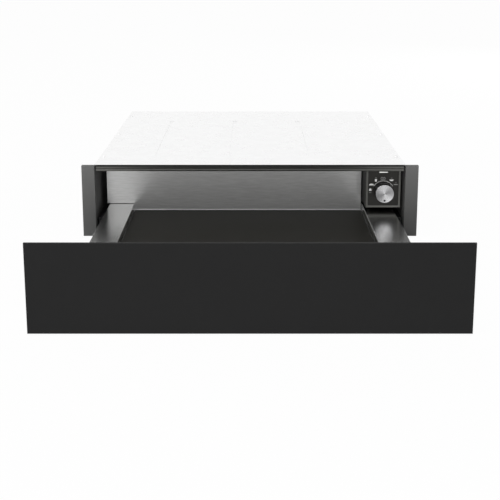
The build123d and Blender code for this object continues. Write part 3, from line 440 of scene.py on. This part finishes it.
@dataclass(frozen=True)
class ZincSheet(Finish):
    """Galvanised or zinc-plated sheet with a faint spangle."""

    name: str
    colour: Colour
    roughness: float
    spangle: float = 14.0 * MM
    contrast: float = 0.05          # share by which the spangle changes the colour
    gloss_change: float = 0.04      # what it adds to the roughness
    grit_scale: float = 900.0       # fine bumps in a metre
    grit_depth: float = 0.004 * MM

    def fill(self, sheet: ShaderSheet) -> Sockets:
        """Works out zinc's sockets.

        Args:
            sheet: the material's empty node tree.

        Returns:
            A value or link for each socket named.
        """
        place = sheet.place()
        sockets = {"Vector": place, "Scale": 1.0 / self.spangle}
        cells = sheet.node("ShaderNodeTexVoronoi", sockets=sockets)
        tone, _, _ = sheet.along(sheet.out(cells, "Color"))
        change = (tone - 0.5) * 2.0
        return {
            "Base Color": sheet.shaded(self.colour, 1.0 + change * self.contrast),
            "Metallic": 1.0,
            "Roughness": self.roughness + change * self.gloss_change,
            "Normal": sheet.bump(sheet.noise(place, self.grit_scale), self.grit_depth),
        }


@dataclass(frozen=True)
class HemmedSheet(ZincSheet):
    """Zinc sheet that is dark and matt on its front edge, which shows beside the rail's ends."""

    hem_end: float = 0.2 * MM
    hem_colour: Colour = (0.012, 0.012, 0.012)

    def fill(self, sheet: ShaderSheet) -> Sockets:
        """Works out zinc's sockets, dark and matt up to the hem's end.

        Args:
            sheet: the material's empty node tree.

        Returns:
            A value or link for each socket named.
        """
        sockets = super().fill(sheet)
        _, y, _ = sheet.along(sheet.place())
        open_face = ((y - self.hem_end) / self.hem_end).clipped()
        sockets["Base Color"] = sheet.blend(open_face, self.hem_colour, sockets["Base Color"])
        sockets["Metallic"] = open_face
        return sockets


@dataclass(frozen=True)
class Moulding(Finish):
    """Moulded plastic or rubber with a fine spark-eroded grain."""

    name: str
    colour: Colour
    roughness: float
    grain: float = 0.5 * MM
    depth: float = 0.01 * MM
    specular: float = 0.4
    cloud_scale: float = 60.0       # soft patches in a metre
    mottle: float = 0.06            # share by which they change the colour
    gloss_change: float = 0.1       # how far the grain spreads the roughness

    def fill(self, sheet: ShaderSheet) -> Sockets:
        """Works out moulded plastic's sockets.

        Args:
            sheet: the material's empty node tree.

        Returns:
            A value or link for each socket named.
        """
        place = sheet.place()
        grain = sheet.noise(place, 1.0 / self.grain)
        cloud = sheet.swing(place, self.cloud_scale)
        return {
            "Base Color": sheet.shaded(self.colour, 1.0 + cloud * self.mottle),
            "Roughness": self.roughness + (grain - 0.5) * self.gloss_change,
            "Specular IOR Level": self.specular,
            "Normal": sheet.bump(grain, self.depth),
        }


@dataclass(frozen=True)
class SatinGlass(Finish):
    """Dark glass floor with a satin, slightly wavy face."""

    name: str
    colour: Colour
    roughness: float
    specular: float = 0.5
    wave_scale: float = 9.0         # waves in a metre
    wave_tone: float = 0.075        # share by which they change the colour
    wave_gloss: float = 0.03        # what they add to the roughness
    frost_scale: float = 2500.0
    frost_depth: float = 0.002 * MM

    def fill(self, sheet: ShaderSheet) -> Sockets:
        """Works out satin glass's sockets.

        Args:
            sheet: the material's empty node tree.

        Returns:
            A value or link for each socket named.
        """
        place = sheet.place()
        wave = sheet.swing(place, self.wave_scale)
        frost = sheet.noise(place, self.frost_scale, detail=1.0)
        return {
            "Base Color": sheet.shaded(self.colour, 1.0 + wave * self.wave_tone),
            "Roughness": self.roughness + wave * self.wave_gloss,
            "Specular IOR Level": self.specular,
            "Normal": sheet.bump(frost, self.frost_depth),
        }


@dataclass(frozen=True)
class SpunFace(Finish):
    """Metal turned about an axis along Y, with ring-shaped tool marks and a painted highlight: a
    fan of lighter and darker sectors in its colour.
    """

    name: str
    colour: Colour
    centre: Point
    roughness: float = 0.24
    ring: float = 0.16 * MM
    depth: float = 0.010 * MM
    painted_fan: float = 0.40               # share by which the painted highlight fan changes the colour
    painted_fan_blades: float = 2.0         # painted bright sectors round the face
    painted_fan_turn: float = math.radians(-134)

    def fill(self, sheet: ShaderSheet) -> Sockets:
        """Works out spun metal's sockets.

        Args:
            sheet: the material's empty node tree.

        Returns:
            A value or link for each socket named.
        """
        x, _, z = sheet.along(sheet.place())
        across, up = x - self.centre[0], z - self.centre[1]
        radius = (across * across + up * up) ** 0.5
        rings = sheet.noise(sheet.point(radius, 0.0, 0.0), 1.0 / self.ring, detail=3.0, rough=0.7)
        angle = sheet.maths("ARCTAN2", up, across)
        # painted highlight: the fan of light that spun metal reflects, drawn into the colour by
        # angle
        painted_fan = (angle * self.painted_fan_blades + self.painted_fan_turn).sine()
        return {
            "Base Color": sheet.shaded(self.colour, 1.0 + painted_fan * self.painted_fan),
            "Metallic": 1.0,
            "Roughness": self.roughness,
            "Normal": sheet.bump(rings, self.depth),
        }


@dataclass(frozen=True)
class LampWindow(Finish):
    """Clear-white light window that glows a little."""

    name: str
    colour: Colour
    glow: float
    roughness: float = 0.25
    haze: float = 0.05              # share by which the haze changes the colour
    haze_scale: float = 400.0

    def fill(self, sheet: ShaderSheet) -> Sockets:
        """Works out the window's sockets.

        Args:
            sheet: the material's empty node tree.

        Returns:
            A value or link for each socket named.
        """
        haze = sheet.swing(sheet.place(), self.haze_scale)
        return {
            "Base Color": sheet.shaded(self.colour, 1.0 + haze * self.haze),
            "Roughness": self.roughness,
            "Emission Color": opaque(self.colour),
            "Emission Strength": self.glow,
        }


@dataclass(frozen=True)
class Ink(Finish):
    """Screen-printed ink."""

    name: str
    colour: Colour
    roughness: float = 0.6
    speck: float = 0.08             # share by which the specks change the colour
    speck_scale: float = 1800.0

    def fill(self, sheet: ShaderSheet) -> Sockets:
        """Works out ink's sockets.

        Args:
            sheet: the material's empty node tree.

        Returns:
            A value or link for each socket named.
        """
        speck = sheet.swing(sheet.place(), self.speck_scale)
        return {
            "Base Color": sheet.shaded(self.colour, 1.0 + speck * self.speck),
            "Roughness": self.roughness,
        }


@dataclass(frozen=True)
class Winding(Finish):
    """Enamelled wire laid side by side round an axis."""

    name: str
    colour: Colour
    wire: float = 0.5 * MM
    metallic: float = 0.7
    roughness: float = 0.35
    groove_painted_shade: float = 0.7        # painted shade: tone of the colour in the grooves between the turns
    crest_painted_highlight: float = 0.5         # painted highlight: what it gains on top of a turn
    depth: float = 0.15 * MM

    def fill(self, sheet: ShaderSheet) -> Sockets:
        """Works out a winding's sockets.

        Args:
            sheet: the material's empty node tree.

        Returns:
            A value or link for each socket named.
        """
        _, y, _ = sheet.along(sheet.place())
        turns = y.ripple(self.wire) * 0.5 + 0.5
        return {
            # painted shade in the grooves and painted highlight on the crests of the turns
            "Base Color": sheet.shaded(self.colour, self.groove_painted_shade + turns * self.crest_painted_highlight),
            "Metallic": self.metallic,
            "Roughness": self.roughness,
            "Normal": sheet.bump(turns, self.depth),
        }


@dataclass(frozen=True)
class Laminations(Finish):
    """Stack of varnished iron sheets across X."""

    name: str
    colour: Colour
    sheet_gauge: float = 0.5 * MM
    metallic: float = 0.5
    roughness: float = 0.5
    joint_tone: float = 0.6         # shade of the colour between the sheets
    sheet_tone: float = 0.5         # what it gains on a sheet
    rust_tone: float = 0.3          # and where the varnish is thin
    rust_scale: float = 120.0
    depth: float = 0.05 * MM

    def fill(self, sheet: ShaderSheet) -> Sockets:
        """Works out the stack's sockets.

        Args:
            sheet: the material's empty node tree.

        Returns:
            A value or link for each socket named.
        """
        place = sheet.place()
        x, _, _ = sheet.along(place)
        edges = x.ripple(self.sheet_gauge) * 0.5 + 0.5
        rust = sheet.noise(place, self.rust_scale, detail=3.0)
        tone = self.joint_tone + edges * self.sheet_tone + rust * self.rust_tone
        return {
            "Base Color": sheet.shaded(self.colour, tone),
            "Metallic": self.metallic,
            "Roughness": self.roughness,
            "Normal": sheet.bump(edges, self.depth),
        }


@dataclass(frozen=True)
class CircuitBoard(Finish):
    """Coated board with tracks."""

    name: str
    colour: Colour
    track: Colour
    pitch: float = 5.0 * MM
    roughness: float = 0.35
    bend: float = 40.0 * MM         # how far the tracks stray
    bend_scale: float = 30.0
    edge_gain: float = 8.0          # steepness of a track's edge
    edge_level: float = 4.0         # narrows the tracks
    depth: float = 0.03 * MM

    def fill(self, sheet: ShaderSheet) -> Sockets:
        """Works out the board's sockets.

        Args:
            sheet: the material's empty node tree.

        Returns:
            A value or link for each socket named.
        """
        place = sheet.place()
        _, y, z = sheet.along(place)
        stray = sheet.noise(place, self.bend_scale, detail=1.0)
        wave = (y + z + stray * self.bend).ripple(self.pitch)
        track = (wave * self.edge_gain - self.edge_level).clipped()
        return {
            "Base Color": sheet.blend(track, self.colour, self.track),
            "Roughness": self.roughness,
            "Normal": sheet.bump(track, self.depth),
        }


# ---- Geometry helpers ------------------------------------------------------------------------
@dataclass(frozen=True)
class NodeBox:
    """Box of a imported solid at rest."""

    low: Vector
    high: Vector

    @classmethod
    def of(cls, node: str) -> "NodeBox":
        """The box of the node of that name."""
        return cls(*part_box(node))

    @property
    def centre(self) -> Vector:
        """Middle of the box."""
        return (self.low + self.high) / 2


def solids(*names: str) -> list[bpy.types.Object]:
    """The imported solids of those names."""
    return [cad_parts[name] for name in names]


def polar(radius: float, turn: float) -> Point:
    """The point at a radius and an angle, in radians from the right and against the clock."""
    return radius * math.cos(turn), radius * math.sin(turn)


class Stencil:
    """Printed shapes that stand a hair proud of a plate which faces forward."""

    def __init__(self, name: str, origin: Vector, thickness: float) -> None:
        """Starts an empty print.

        Args:
            name: the piece's name.
            origin: the point on the plate from which shapes are measured.
            thickness: of the ink.
        """
        self.name = name
        self.origin = origin
        self.thickness = thickness
        self.mesh = bmesh.new()

    def patch(self, outline: Sequence[Point]) -> None:
        """Adds one shape with an even face.

        Args:
            outline: its corners, to the right and up from the origin, in turn.
        """
        ink, plate = [], []
        for right, up in outline:
            at = self.origin + Vector((right, 0.0, up))
            plate.append(self.mesh.verts.new(at))
            ink.append(self.mesh.verts.new(at - Vector((0.0, self.thickness, 0.0))))
        self.mesh.faces.new(ink)
        self.mesh.faces.new(plate[::-1])
        for i in range(len(outline)):
            j = (i + 1) % len(outline)
            self.mesh.faces.new((ink[j], ink[i], plate[i], plate[j]))

    def bar(self, centre: Point, width: float, height: float) -> None:
        """Adds an upright rectangle.

        Args:
            centre: its middle.
            width: from left to right.
            height: from bottom to top.
        """
        x, z = centre
        left, right = x - width / 2, x + width / 2
        low, high = z - height / 2, z + height / 2
        self.patch([(left, low), (right, low), (right, high), (left, high)])

    def arc(self, radius: float, width: float, start: float, end: float, steps: int) -> None:
        """Adds a ring's arc about the origin.

        Args:
            radius: of its middle line.
            width: of the line.
            start: angle from the right, against the clock, in degrees.
            end: angle where it stops.
            steps: straight pieces along it.
        """
        near, far = radius - width / 2, radius + width / 2
        for i in range(steps):
            first, last = (
                math.radians(start + (end - start) * (i + k) / steps) for k in (0, 1)
            )
            self.patch([polar(near, first), polar(far, first), polar(far, last), polar(near, last)])

    def cap(
        self,
        centre: Point,
        width: float,
        height: float,
        upward: bool = True,
        steps: int = 12,
    ) -> None:
        """Adds a half ellipse on a flat edge.

        Args:
            centre: the flat edge's middle.
            width: of the flat edge.
            height: of the curve from it.
            upward: whether the curve is above the edge or below it.
            steps: straight pieces along the curve.
        """
        x, z = centre
        way = 1 if upward else -1
        turns = [math.pi * i / steps for i in range(steps + 1)]
        rim = [(x + width / 2 * math.cos(t), z + way * height * math.sin(t)) for t in turns]
        self.patch(rim if upward else rim[::-1])

    def line(self, start: Point, end: Point, width: float) -> None:
        """Adds a straight line.

        Args:
            start: the middle of one end.
            end: the middle of the other.
            width: of the line.
        """
        first, last = Vector(start), Vector(end)
        along = last - first
        side = Vector((-along.y, along.x)).normalized() * width / 2
        self.patch([tuple(c) for c in (first - side, last - side, last + side, first + side)])

    def piece(self, finish: Finish, body: str, slot: str) -> bpy.types.Object:
        """Makes the object.

        Args:
            finish: its ink.
            body: the body that it rides on.
            slot: not used.

        Returns:
            The object.
        """
        bmesh.ops.recalc_face_normals(self.mesh, faces=self.mesh.faces)
        data = bpy.data.meshes.new(self.name)
        self.mesh.to_mesh(data)
        self.mesh.free()
        made = bpy.data.objects.new(self.name, data)
        bpy.context.scene.collection.objects.link(made)
        finish.dress(made)
        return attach(made, body)


# ---- The object's own finishes ---------------------------------------------------------------
MATT_BLACK = Coat("matt_black_coat", (0.0112, 0.0112, 0.0113), 0.46, specular=0.08)
SATIN_GREY = Coat("satin_grey_coat", (0.124, 0.124, 0.122), 0.50, specular=0.12)
RAIL_BLACK = RailCoat(
    "rail_black_coat",
    (0.130, 0.130, 0.122),
    0.30,
    metallic=0.92,
    specular=0.01,
    lip_low=121.4 * MM,
    lip_high=123.75 * MM,
    painted_lip_metallic=0.82,
    crown=128.0 * MM,
    crown_colour=(0.016, 0.016, 0.0155),
)
INNER_DARK = Coat("inner_dark_coat", (0.0205, 0.0200, 0.0170), 0.45, specular=0.30)
RUNNER_BLACK = Coat("runner_black_zinc", (0.030, 0.030, 0.031), 0.40, metallic=0.4, specular=0.3)
BEZEL_GREY = Coat("bezel_grey_coat", (0.170, 0.170, 0.160), 0.38, metallic=1.0)
TRAY_STEEL = BrushedSteel(
    "tray_steel",
    (0.77, 0.77, 0.765),
    0.225,
    depth=0.004 * MM,
    streak=0.02,
)
BACK_STEEL = BeadedSteel(
    "back_steel",
    (0.64, 0.64, 0.635),
    0.22,
    metallic=0.52,
    depth=0.07 * MM,
    streak=0.22,
    streak_width=2.2 * MM,
    streak_length=22 * MM,
    bead_top=29.6 * MM,
)
COVER_ZINC = HemmedSheet("cover_zinc", (0.91, 0.91, 0.91), 0.30, contrast=0.02)
CASE_ZINC = ZincSheet("case_zinc", (0.50, 0.51, 0.52), 0.36)
RUNNER_ZINC = BrushedSteel(
    "runner_zinc",
    (0.56, 0.57, 0.58),
    0.30,
    grain_axis=Axis.Y,
    depth=0.006 * MM,
)
SCREW_ZINC = ZincSheet("screw_zinc", (0.55, 0.55, 0.56), 0.22, spangle=2 * MM, contrast=0.03)
BALL_STEEL = ZincSheet("ball_steel", (0.62, 0.62, 0.63), 0.12, spangle=2 * MM, contrast=0.02)
SHAFT_STEEL = BrushedSteel("shaft_steel", (0.50, 0.50, 0.50), 0.25)
HEATER_STEEL = BrushedSteel("heater_steel", (0.20, 0.17, 0.14), 0.40)
ROTOR_ALUMINIUM = BrushedSteel("rotor_aluminium", (0.60, 0.61, 0.62), 0.35)
BRONZE = ZincSheet("sintered_bronze", (0.45, 0.28, 0.12), 0.40, spangle=1 * MM)
FLOOR_GLASS = SatinGlass("floor_glass", (0.0168, 0.0160, 0.0132), 0.50, specular=0.12)
FASCIA_BLACK = Moulding("fascia_black", (0.0175, 0.0167, 0.0145), 0.50)
KNOB_BLACK = Moulding("knob_black", (0.012, 0.012, 0.012), 0.30)
RUBBER_BLACK = Moulding("rubber_black", (0.020, 0.020, 0.020), 0.75, grain=0.8 * MM)
SWITCH_GREY = Moulding("switch_grey", (0.090, 0.090, 0.100), 0.50)
COMPONENT_DARK = Moulding("component_dark", (0.050, 0.050, 0.060), 0.45)
LATCH_GREY = Moulding("latch_grey", (0.100, 0.100, 0.105), 0.50)
GLAND_BLACK = Moulding("gland_black", (0.030, 0.030, 0.030), 0.50)
TERMINAL_WHITE = Moulding("terminal_white", (0.70, 0.69, 0.65), 0.45)
LENS_WHITE = LampWindow("lens_white", (0.80, 0.80, 0.78), glow=0.35)
INK_WHITE = Ink("ink_white", (0.80, 0.80, 0.79))
INK_GREY = Ink("ink_grey", (0.34, 0.34, 0.335))
COPPER = Winding("copper_winding", (0.50, 0.20, 0.08))
IRON_STACK = Laminations("iron_stack", (0.12, 0.12, 0.13))
BOARD_GREEN = CircuitBoard("board_green", (0.03, 0.16, 0.08), (0.06, 0.26, 0.12))


# ---- Sub-assemblies --------------------------------------------------------------------------
@dataclass
class Assembly:
    """A sub-assembly, with the solids that take each finish."""

    finishes: dict[Finish, tuple[str, ...]] = field(default_factory=dict)

    def build(self) -> None:
        """Dresses the solids."""
        for finish, names in self.finishes.items():
            finish.dress(*solids(*names))


@dataclass
class Housing(Assembly):
    """Sheet-metal case that stays in the cabinet, with its trims and its top rail."""

    finishes: dict[Finish, tuple[str, ...]] = field(
        default_factory=lambda: {
            COVER_ZINC: ("top_cover", "cover_screws"),
            CASE_ZINC: ("base_pan", "rear_panel"),
            RUNNER_BLACK: ("slide_brackets",),
            SATIN_GREY: ("left_trim", "right_trim", "left_side_panel", "right_side_panel"),
            RAIL_BLACK: ("front_rail",),
            SCREW_ZINC: ("rear_screws",),
        }
    )


@dataclass
class Runners(Assembly):
    """The two telescopic runners, with their ball cages and stops."""

    finishes: dict[Finish, tuple[str, ...]] = field(
        default_factory=lambda: {
            RUNNER_ZINC: (
                "left_slide_middle",
                "left_slide_inner",
                "right_slide_middle",
                "right_slide_inner",
            ),
            RUNNER_BLACK: ("left_slide_outer", "right_slide_outer"),
            BALL_STEEL: (
                "left_outer_cage",
                "left_inner_cage",
                "right_outer_cage",
                "right_inner_cage",
            ),
            CASE_ZINC: ("runner_brackets",),
            RUBBER_BLACK: ("slide_buffers",),
        }
    )


class Mark(Enum):
    """Printed marks round the knob, each with its angle from the knob's lowest point, clockwise."""

    KEEP_WARM = 94
    DISHES = 119
    GLASSES = 146
    DEFROST = 179
    BOWLS = 217
    PLATES = 242


@dataclass(frozen=True)
class Shape:
    """A printed shape: its mark, its place to the right of and above the mark's, and its size."""

    mark: Mark
    right: float
    up: float
    width: float
    height: float


@dataclass
class ControlPanel(Assembly):
    """The panel at the right of the opening, with its knob, pilot window and printed marks."""

    ink_thickness: float = 0.05 * MM
    arc_radius: float = 19.0 * MM
    arc_width: float = 0.60 * MM
    arc_start: float = 27.0         # degrees from the right, against the clock
    arc_end: float = 153.0
    arc_steps: int = 48
    mark_radius: float = 24.2 * MM
    domes: tuple[Shape, ...] = (
        Shape(Mark.KEEP_WARM, 1.0 * MM, -1.4 * MM, 4.8 * MM, 4.8 * MM),
        Shape(Mark.DISHES, 0.0, -0.9 * MM, 9.0 * MM, 3.0 * MM),
    )
    tumbler: Shape = Shape(Mark.GLASSES, 0.0, -0.3 * MM, 3.0 * MM, 5.0 * MM)
    tumbler_rim: float = 4.0 * MM   # its width at the top
    bowl: Shape = Shape(Mark.BOWLS, 0.0, 2.0 * MM, 7.8 * MM, 2.8 * MM)
    bars: tuple[Shape, ...] = (
        Shape(Mark.KEEP_WARM, 1.0 * MM, -4.6 * MM, 4.4 * MM, 0.7 * MM),
        Shape(Mark.DISHES, 0.0, -1.5 * MM, 9.0 * MM, 0.6 * MM),
        Shape(Mark.GLASSES, 0.0, 4.8 * MM, 3.0 * MM, 0.6 * MM),
        Shape(Mark.BOWLS, 0.0, 4.6 * MM, 2.4 * MM, 0.7 * MM),
        Shape(Mark.PLATES, 1.0 * MM, 0.7 * MM, 7.2 * MM, 1.3 * MM),
        Shape(Mark.PLATES, 1.0 * MM, 3.8 * MM, 2.4 * MM, 0.7 * MM),
    )
    diamonds: tuple[Shape, ...] = (
        Shape(Mark.DEFROST, -2.3 * MM, -1.0 * MM, 5.0 * MM, 5.4 * MM),
        Shape(Mark.DEFROST, 1.7 * MM, -1.0 * MM, 5.0 * MM, 5.4 * MM),
    )
    diamond_line: float = 0.8 * MM
    cap_colour: Colour = (0.56, 0.56, 0.57)
    finishes: dict[Finish, tuple[str, ...]] = field(
        default_factory=lambda: {
            INNER_DARK: ("control_box",),
            BEZEL_GREY: ("control_bezel",),
            FASCIA_BLACK: ("control_fascia",),
            LENS_WHITE: ("pilot_lens",),
            COMPONENT_DARK: ("pilot_lamp", "board_components"),
            SWITCH_GREY: ("rotary_switch",),
            BOARD_GREEN: ("control_board",),
            KNOB_BLACK: ("knob_body",),
            SHAFT_STEEL: ("knob_shaft",),
        }
    )

    def _middle(self, shape: Shape) -> Point:
        """Middle of a printed shape, to the right of and above the knob's axis."""
        x, z = polar(self.mark_radius, -math.radians(shape.mark.value) - math.pi / 2)
        return x + shape.right, z + shape.up

    def _print_bright(self, stencil: Stencil) -> None:
        """Draws the arc and the solid marks.

        Args:
            stencil: the print that takes them.
        """
        ends = self.arc_start, self.arc_end
        stencil.arc(self.arc_radius, self.arc_width, *ends, self.arc_steps)
        for dome in self.domes:
            stencil.cap(self._middle(dome), dome.width, dome.height)
        x, z = self._middle(self.tumbler)
        base, rim = self.tumbler.width / 2, self.tumbler_rim / 2
        low, high = z - self.tumbler.height / 2, z + self.tumbler.height / 2
        stencil.patch([(x - base, low), (x + base, low), (x + rim, high), (x - rim, high)])
        stencil.cap(self._middle(self.bowl), self.bowl.width, self.bowl.height, upward=False)

    def _print_dim(self, stencil: Stencil) -> None:
        """Draws the thin marks.

        Args:
            stencil: the print that takes them.
        """
        for bar in self.bars:
            stencil.bar(self._middle(bar), bar.width, bar.height)
        for diamond in self.diamonds:
            x, z = self._middle(diamond)
            across, up = diamond.width / 2, diamond.height / 2
            tips = [(x - across, z), (x, z + up), (x + across, z), (x, z - up)]
            for tip, following in zip(tips, tips[1:] + tips[:1]):
                stencil.line(tip, following, self.diamond_line)

    def build(self) -> None:
        """Dresses the panel and the knob, and prints the marks."""
        super().build()
        knob = NodeBox.of("knob_body").centre
        SpunFace("knob_spun_face", self.cap_colour, (knob.x, knob.z)).dress(*solids("knob_cap"))
        origin = Vector((knob.x, NodeBox.of("control_fascia").low.y, knob.z))
        bright = Stencil("fascia_marks", origin, self.ink_thickness)
        self._print_bright(bright)
        bright.piece(INK_WHITE, "housing", "lens_white")
        dim = Stencil("fascia_fine_marks", origin, self.ink_thickness)
        self._print_dim(dim)
        dim.piece(INK_GREY, "housing", "lens_white")


@dataclass
class RearUnits(Assembly):
    """Blower, heater, latch, door switch and mains entry behind the drawer."""

    finishes: dict[Finish, tuple[str, ...]] = field(
        default_factory=lambda: {
            CASE_ZINC: ("blower_scroll", "blower_ends", "heater_clips"),
            BRONZE: ("rotor_bushes",),
            IRON_STACK: ("motor_core",),
            COPPER: ("motor_coil",),
            HEATER_STEEL: ("heating_element",),
            COMPONENT_DARK: ("thermal_cutout",),
            LATCH_GREY: ("latch_body", "latch_plunger"),
            SWITCH_GREY: ("door_switch", "switch_button"),
            GLAND_BLACK: ("cable_gland",),
            TERMINAL_WHITE: ("terminal_block",),
            ROTOR_ALUMINIUM: ("fan_rotor",),
            SHAFT_STEEL: ("blower_shaft",),
        }
    )


@dataclass
class Drawer(Assembly):
    """The drawer with its plain front."""

    finishes: dict[Finish, tuple[str, ...]] = field(
        default_factory=lambda: {
            MATT_BLACK: ("front_panel",),
            INNER_DARK: ("panel_backplate", "panel_carrier"),
            RUBBER_BLACK: ("panel_bumpers",),
            TRAY_STEEL: ("drawer_tray",),
            BACK_STEEL: ("drawer_back",),
            FLOOR_GLASS: ("floor_mat",),
            CASE_ZINC: ("latch_striker",),
            SCREW_ZINC: ("carrier_screws",),
        }
    )


# ---- Studio ----------------------------------------------------------------------------------
@dataclass(frozen=True)
class SoftLamp:
    """A square soft lamp."""

    name: str
    place: Place
    target: Place               # the point that it looks at
    side: float
    watts: float
    mirrored: bool = True       # whether metal shows its reflection

    def build(self) -> None:
        """Adds the lamp."""
        data = bpy.data.lights.new(self.name, "AREA")
        data.size = self.side
        data.energy = self.watts
        lamp = bpy.data.objects.new(self.name, data)
        bpy.context.scene.collection.objects.link(lamp)
        lamp.visible_glossy = self.mirrored
        lamp.location = self.place
        lamp.rotation_mode = "QUATERNION"
        look = Vector(self.target) - Vector(self.place)
        lamp.rotation_quaternion = look.to_track_quat("-Z", "Y")


@dataclass
class Studio:
    """White surroundings, soft lamps and the camera at the photograph's place."""

    floor_side: float = 60.0
    floor_gap: float = 0.5 * MM
    floor_colour: float = 0.88
    floor_shine: float = 0.975      # how much of the floor that the camera sees is plain white
    world_diffuse: float = 0.30     # how strongly the surroundings light a matt surface
    lamps: tuple[SoftLamp, ...] = (
        SoftLamp("key_lamp", (-1.2, -1.1, 1.9), (0.0, -0.1, 0.05), side=1.4, watts=16.0),
        SoftLamp(
            "low_lamp",
            (-0.15, -2.50, 0.36),
            (0.0, 0.0, 0.08),
            side=0.6,
            watts=46.0,
            mirrored=False,
        ),
        SoftLamp(
            "rear_lamp",
            (1.6, 2.4, 1.0),
            (0.0, 0.1, 0.05),
            side=1.2,
            watts=30.0,
            mirrored=False,
        ),
    )
    eye: Place = (0.0, -1.5542, 0.5130)
    pitch: float = math.radians(10.868)     # below level
    focal_pixels: float = 899.9
    sensor: float = 36.0            # mm
    shift_y: float = -0.265

    def _seen(self, sheet: ShaderSheet) -> Signal:
        """Tells where the camera looks, also in a mirror or through glass.

        Args:
            sheet: the node tree that uses it.

        Returns:
            1 there and 0 elsewhere.
        """
        path = sheet.node("ShaderNodeLightPath")
        camera = sheet.out(path, "Is Camera Ray")
        glossy = sheet.out(path, "Is Glossy Ray")
        through = sheet.out(path, "Is Transmission Ray")
        return camera.largest(glossy).largest(through)

    def _world(self) -> None:
        """Plain white surroundings, dimmer as a lamp than they look."""
        world = bpy.data.worlds.new("white_surroundings")
        bpy.context.scene.world = world
        world.use_nodes = True
        sheet = ShaderSheet(world.node_tree)
        strength = self._seen(sheet) * (1.0 - self.world_diffuse) + self.world_diffuse
        sockets = {"Color": opaque(WHITE), "Strength": strength}
        glow = sheet.node("ShaderNodeBackground", sockets=sockets)
        sheet.node("ShaderNodeOutputWorld", sockets={"Surface": glow.outputs[0]})

    def _floor_material(self) -> bpy.types.Material:
        """Makes the floor's white, which keeps a faint shadow.

        Returns:
            The material.
        """
        material = bpy.data.materials.new("floor_white")
        material.use_nodes = True
        sheet = ShaderSheet(material.node_tree)
        grey = opaque((self.floor_colour,) * 3)
        paper = sheet.node("ShaderNodeBsdfDiffuse", sockets={"Color": grey})
        white = sheet.node("ShaderNodeEmission", sockets={"Strength": 1.0})
        share = self._seen(sheet) * self.floor_shine
        sockets = {0: share, 1: paper.outputs[0], 2: white.outputs[0]}
        both = sheet.node("ShaderNodeMixShader", sockets=sockets)
        sheet.node("ShaderNodeOutputMaterial", sockets={"Surface": both.outputs[0]})
        return material

    def _floor(self) -> None:
        """White floor under the base."""
        half = self.floor_side / 2
        level = CAD_BOX[0].z - self.floor_gap
        mesh = bmesh.new()
        corners = [(-half, -half), (half, -half), (half, half), (-half, half)]
        mesh.faces.new([mesh.verts.new((x, y, level)) for x, y in corners])
        data = bpy.data.meshes.new("studio_floor")
        mesh.to_mesh(data)
        mesh.free()
        data.materials.append(self._floor_material())
        floor = bpy.data.objects.new("studio_floor", data)
        bpy.context.scene.collection.objects.link(floor)

    def _camera(self) -> None:
        """Camera at the photograph's viewing point."""
        data = bpy.data.cameras.new("camera")
        data.sensor_width = self.sensor
        data.lens = self.focal_pixels * self.sensor / PHOTO_SIDE
        data.shift_y = self.shift_y
        data.clip_end = 2 * self.floor_side
        camera = bpy.data.objects.new("camera", data)
        bpy.context.scene.collection.objects.link(camera)
        camera.location = self.eye
        camera.rotation_euler = (math.pi / 2 - self.pitch, 0.0, 0.0)
        bpy.context.scene.camera = camera

    def build(self) -> None:
        """Sets up the surroundings, the lamps and the camera."""
        bpy.context.scene.view_settings.view_transform = "Standard"
        self._world()
        self._floor()
        for lamp in self.lamps:
            lamp.build()
        self._camera()


def main() -> None:
    """Dresses the object, builds its printed marks and sets up the studio."""
    logging.basicConfig(level=logging.INFO, format="%(message)s")
    for assembly in (Housing(), Runners(), ControlPanel(), RearUnits(), Drawer(), Studio()):
        assembly.build()
        log.info("built %s", type(assembly).__name__)


if __name__ == "__main__":
    main()
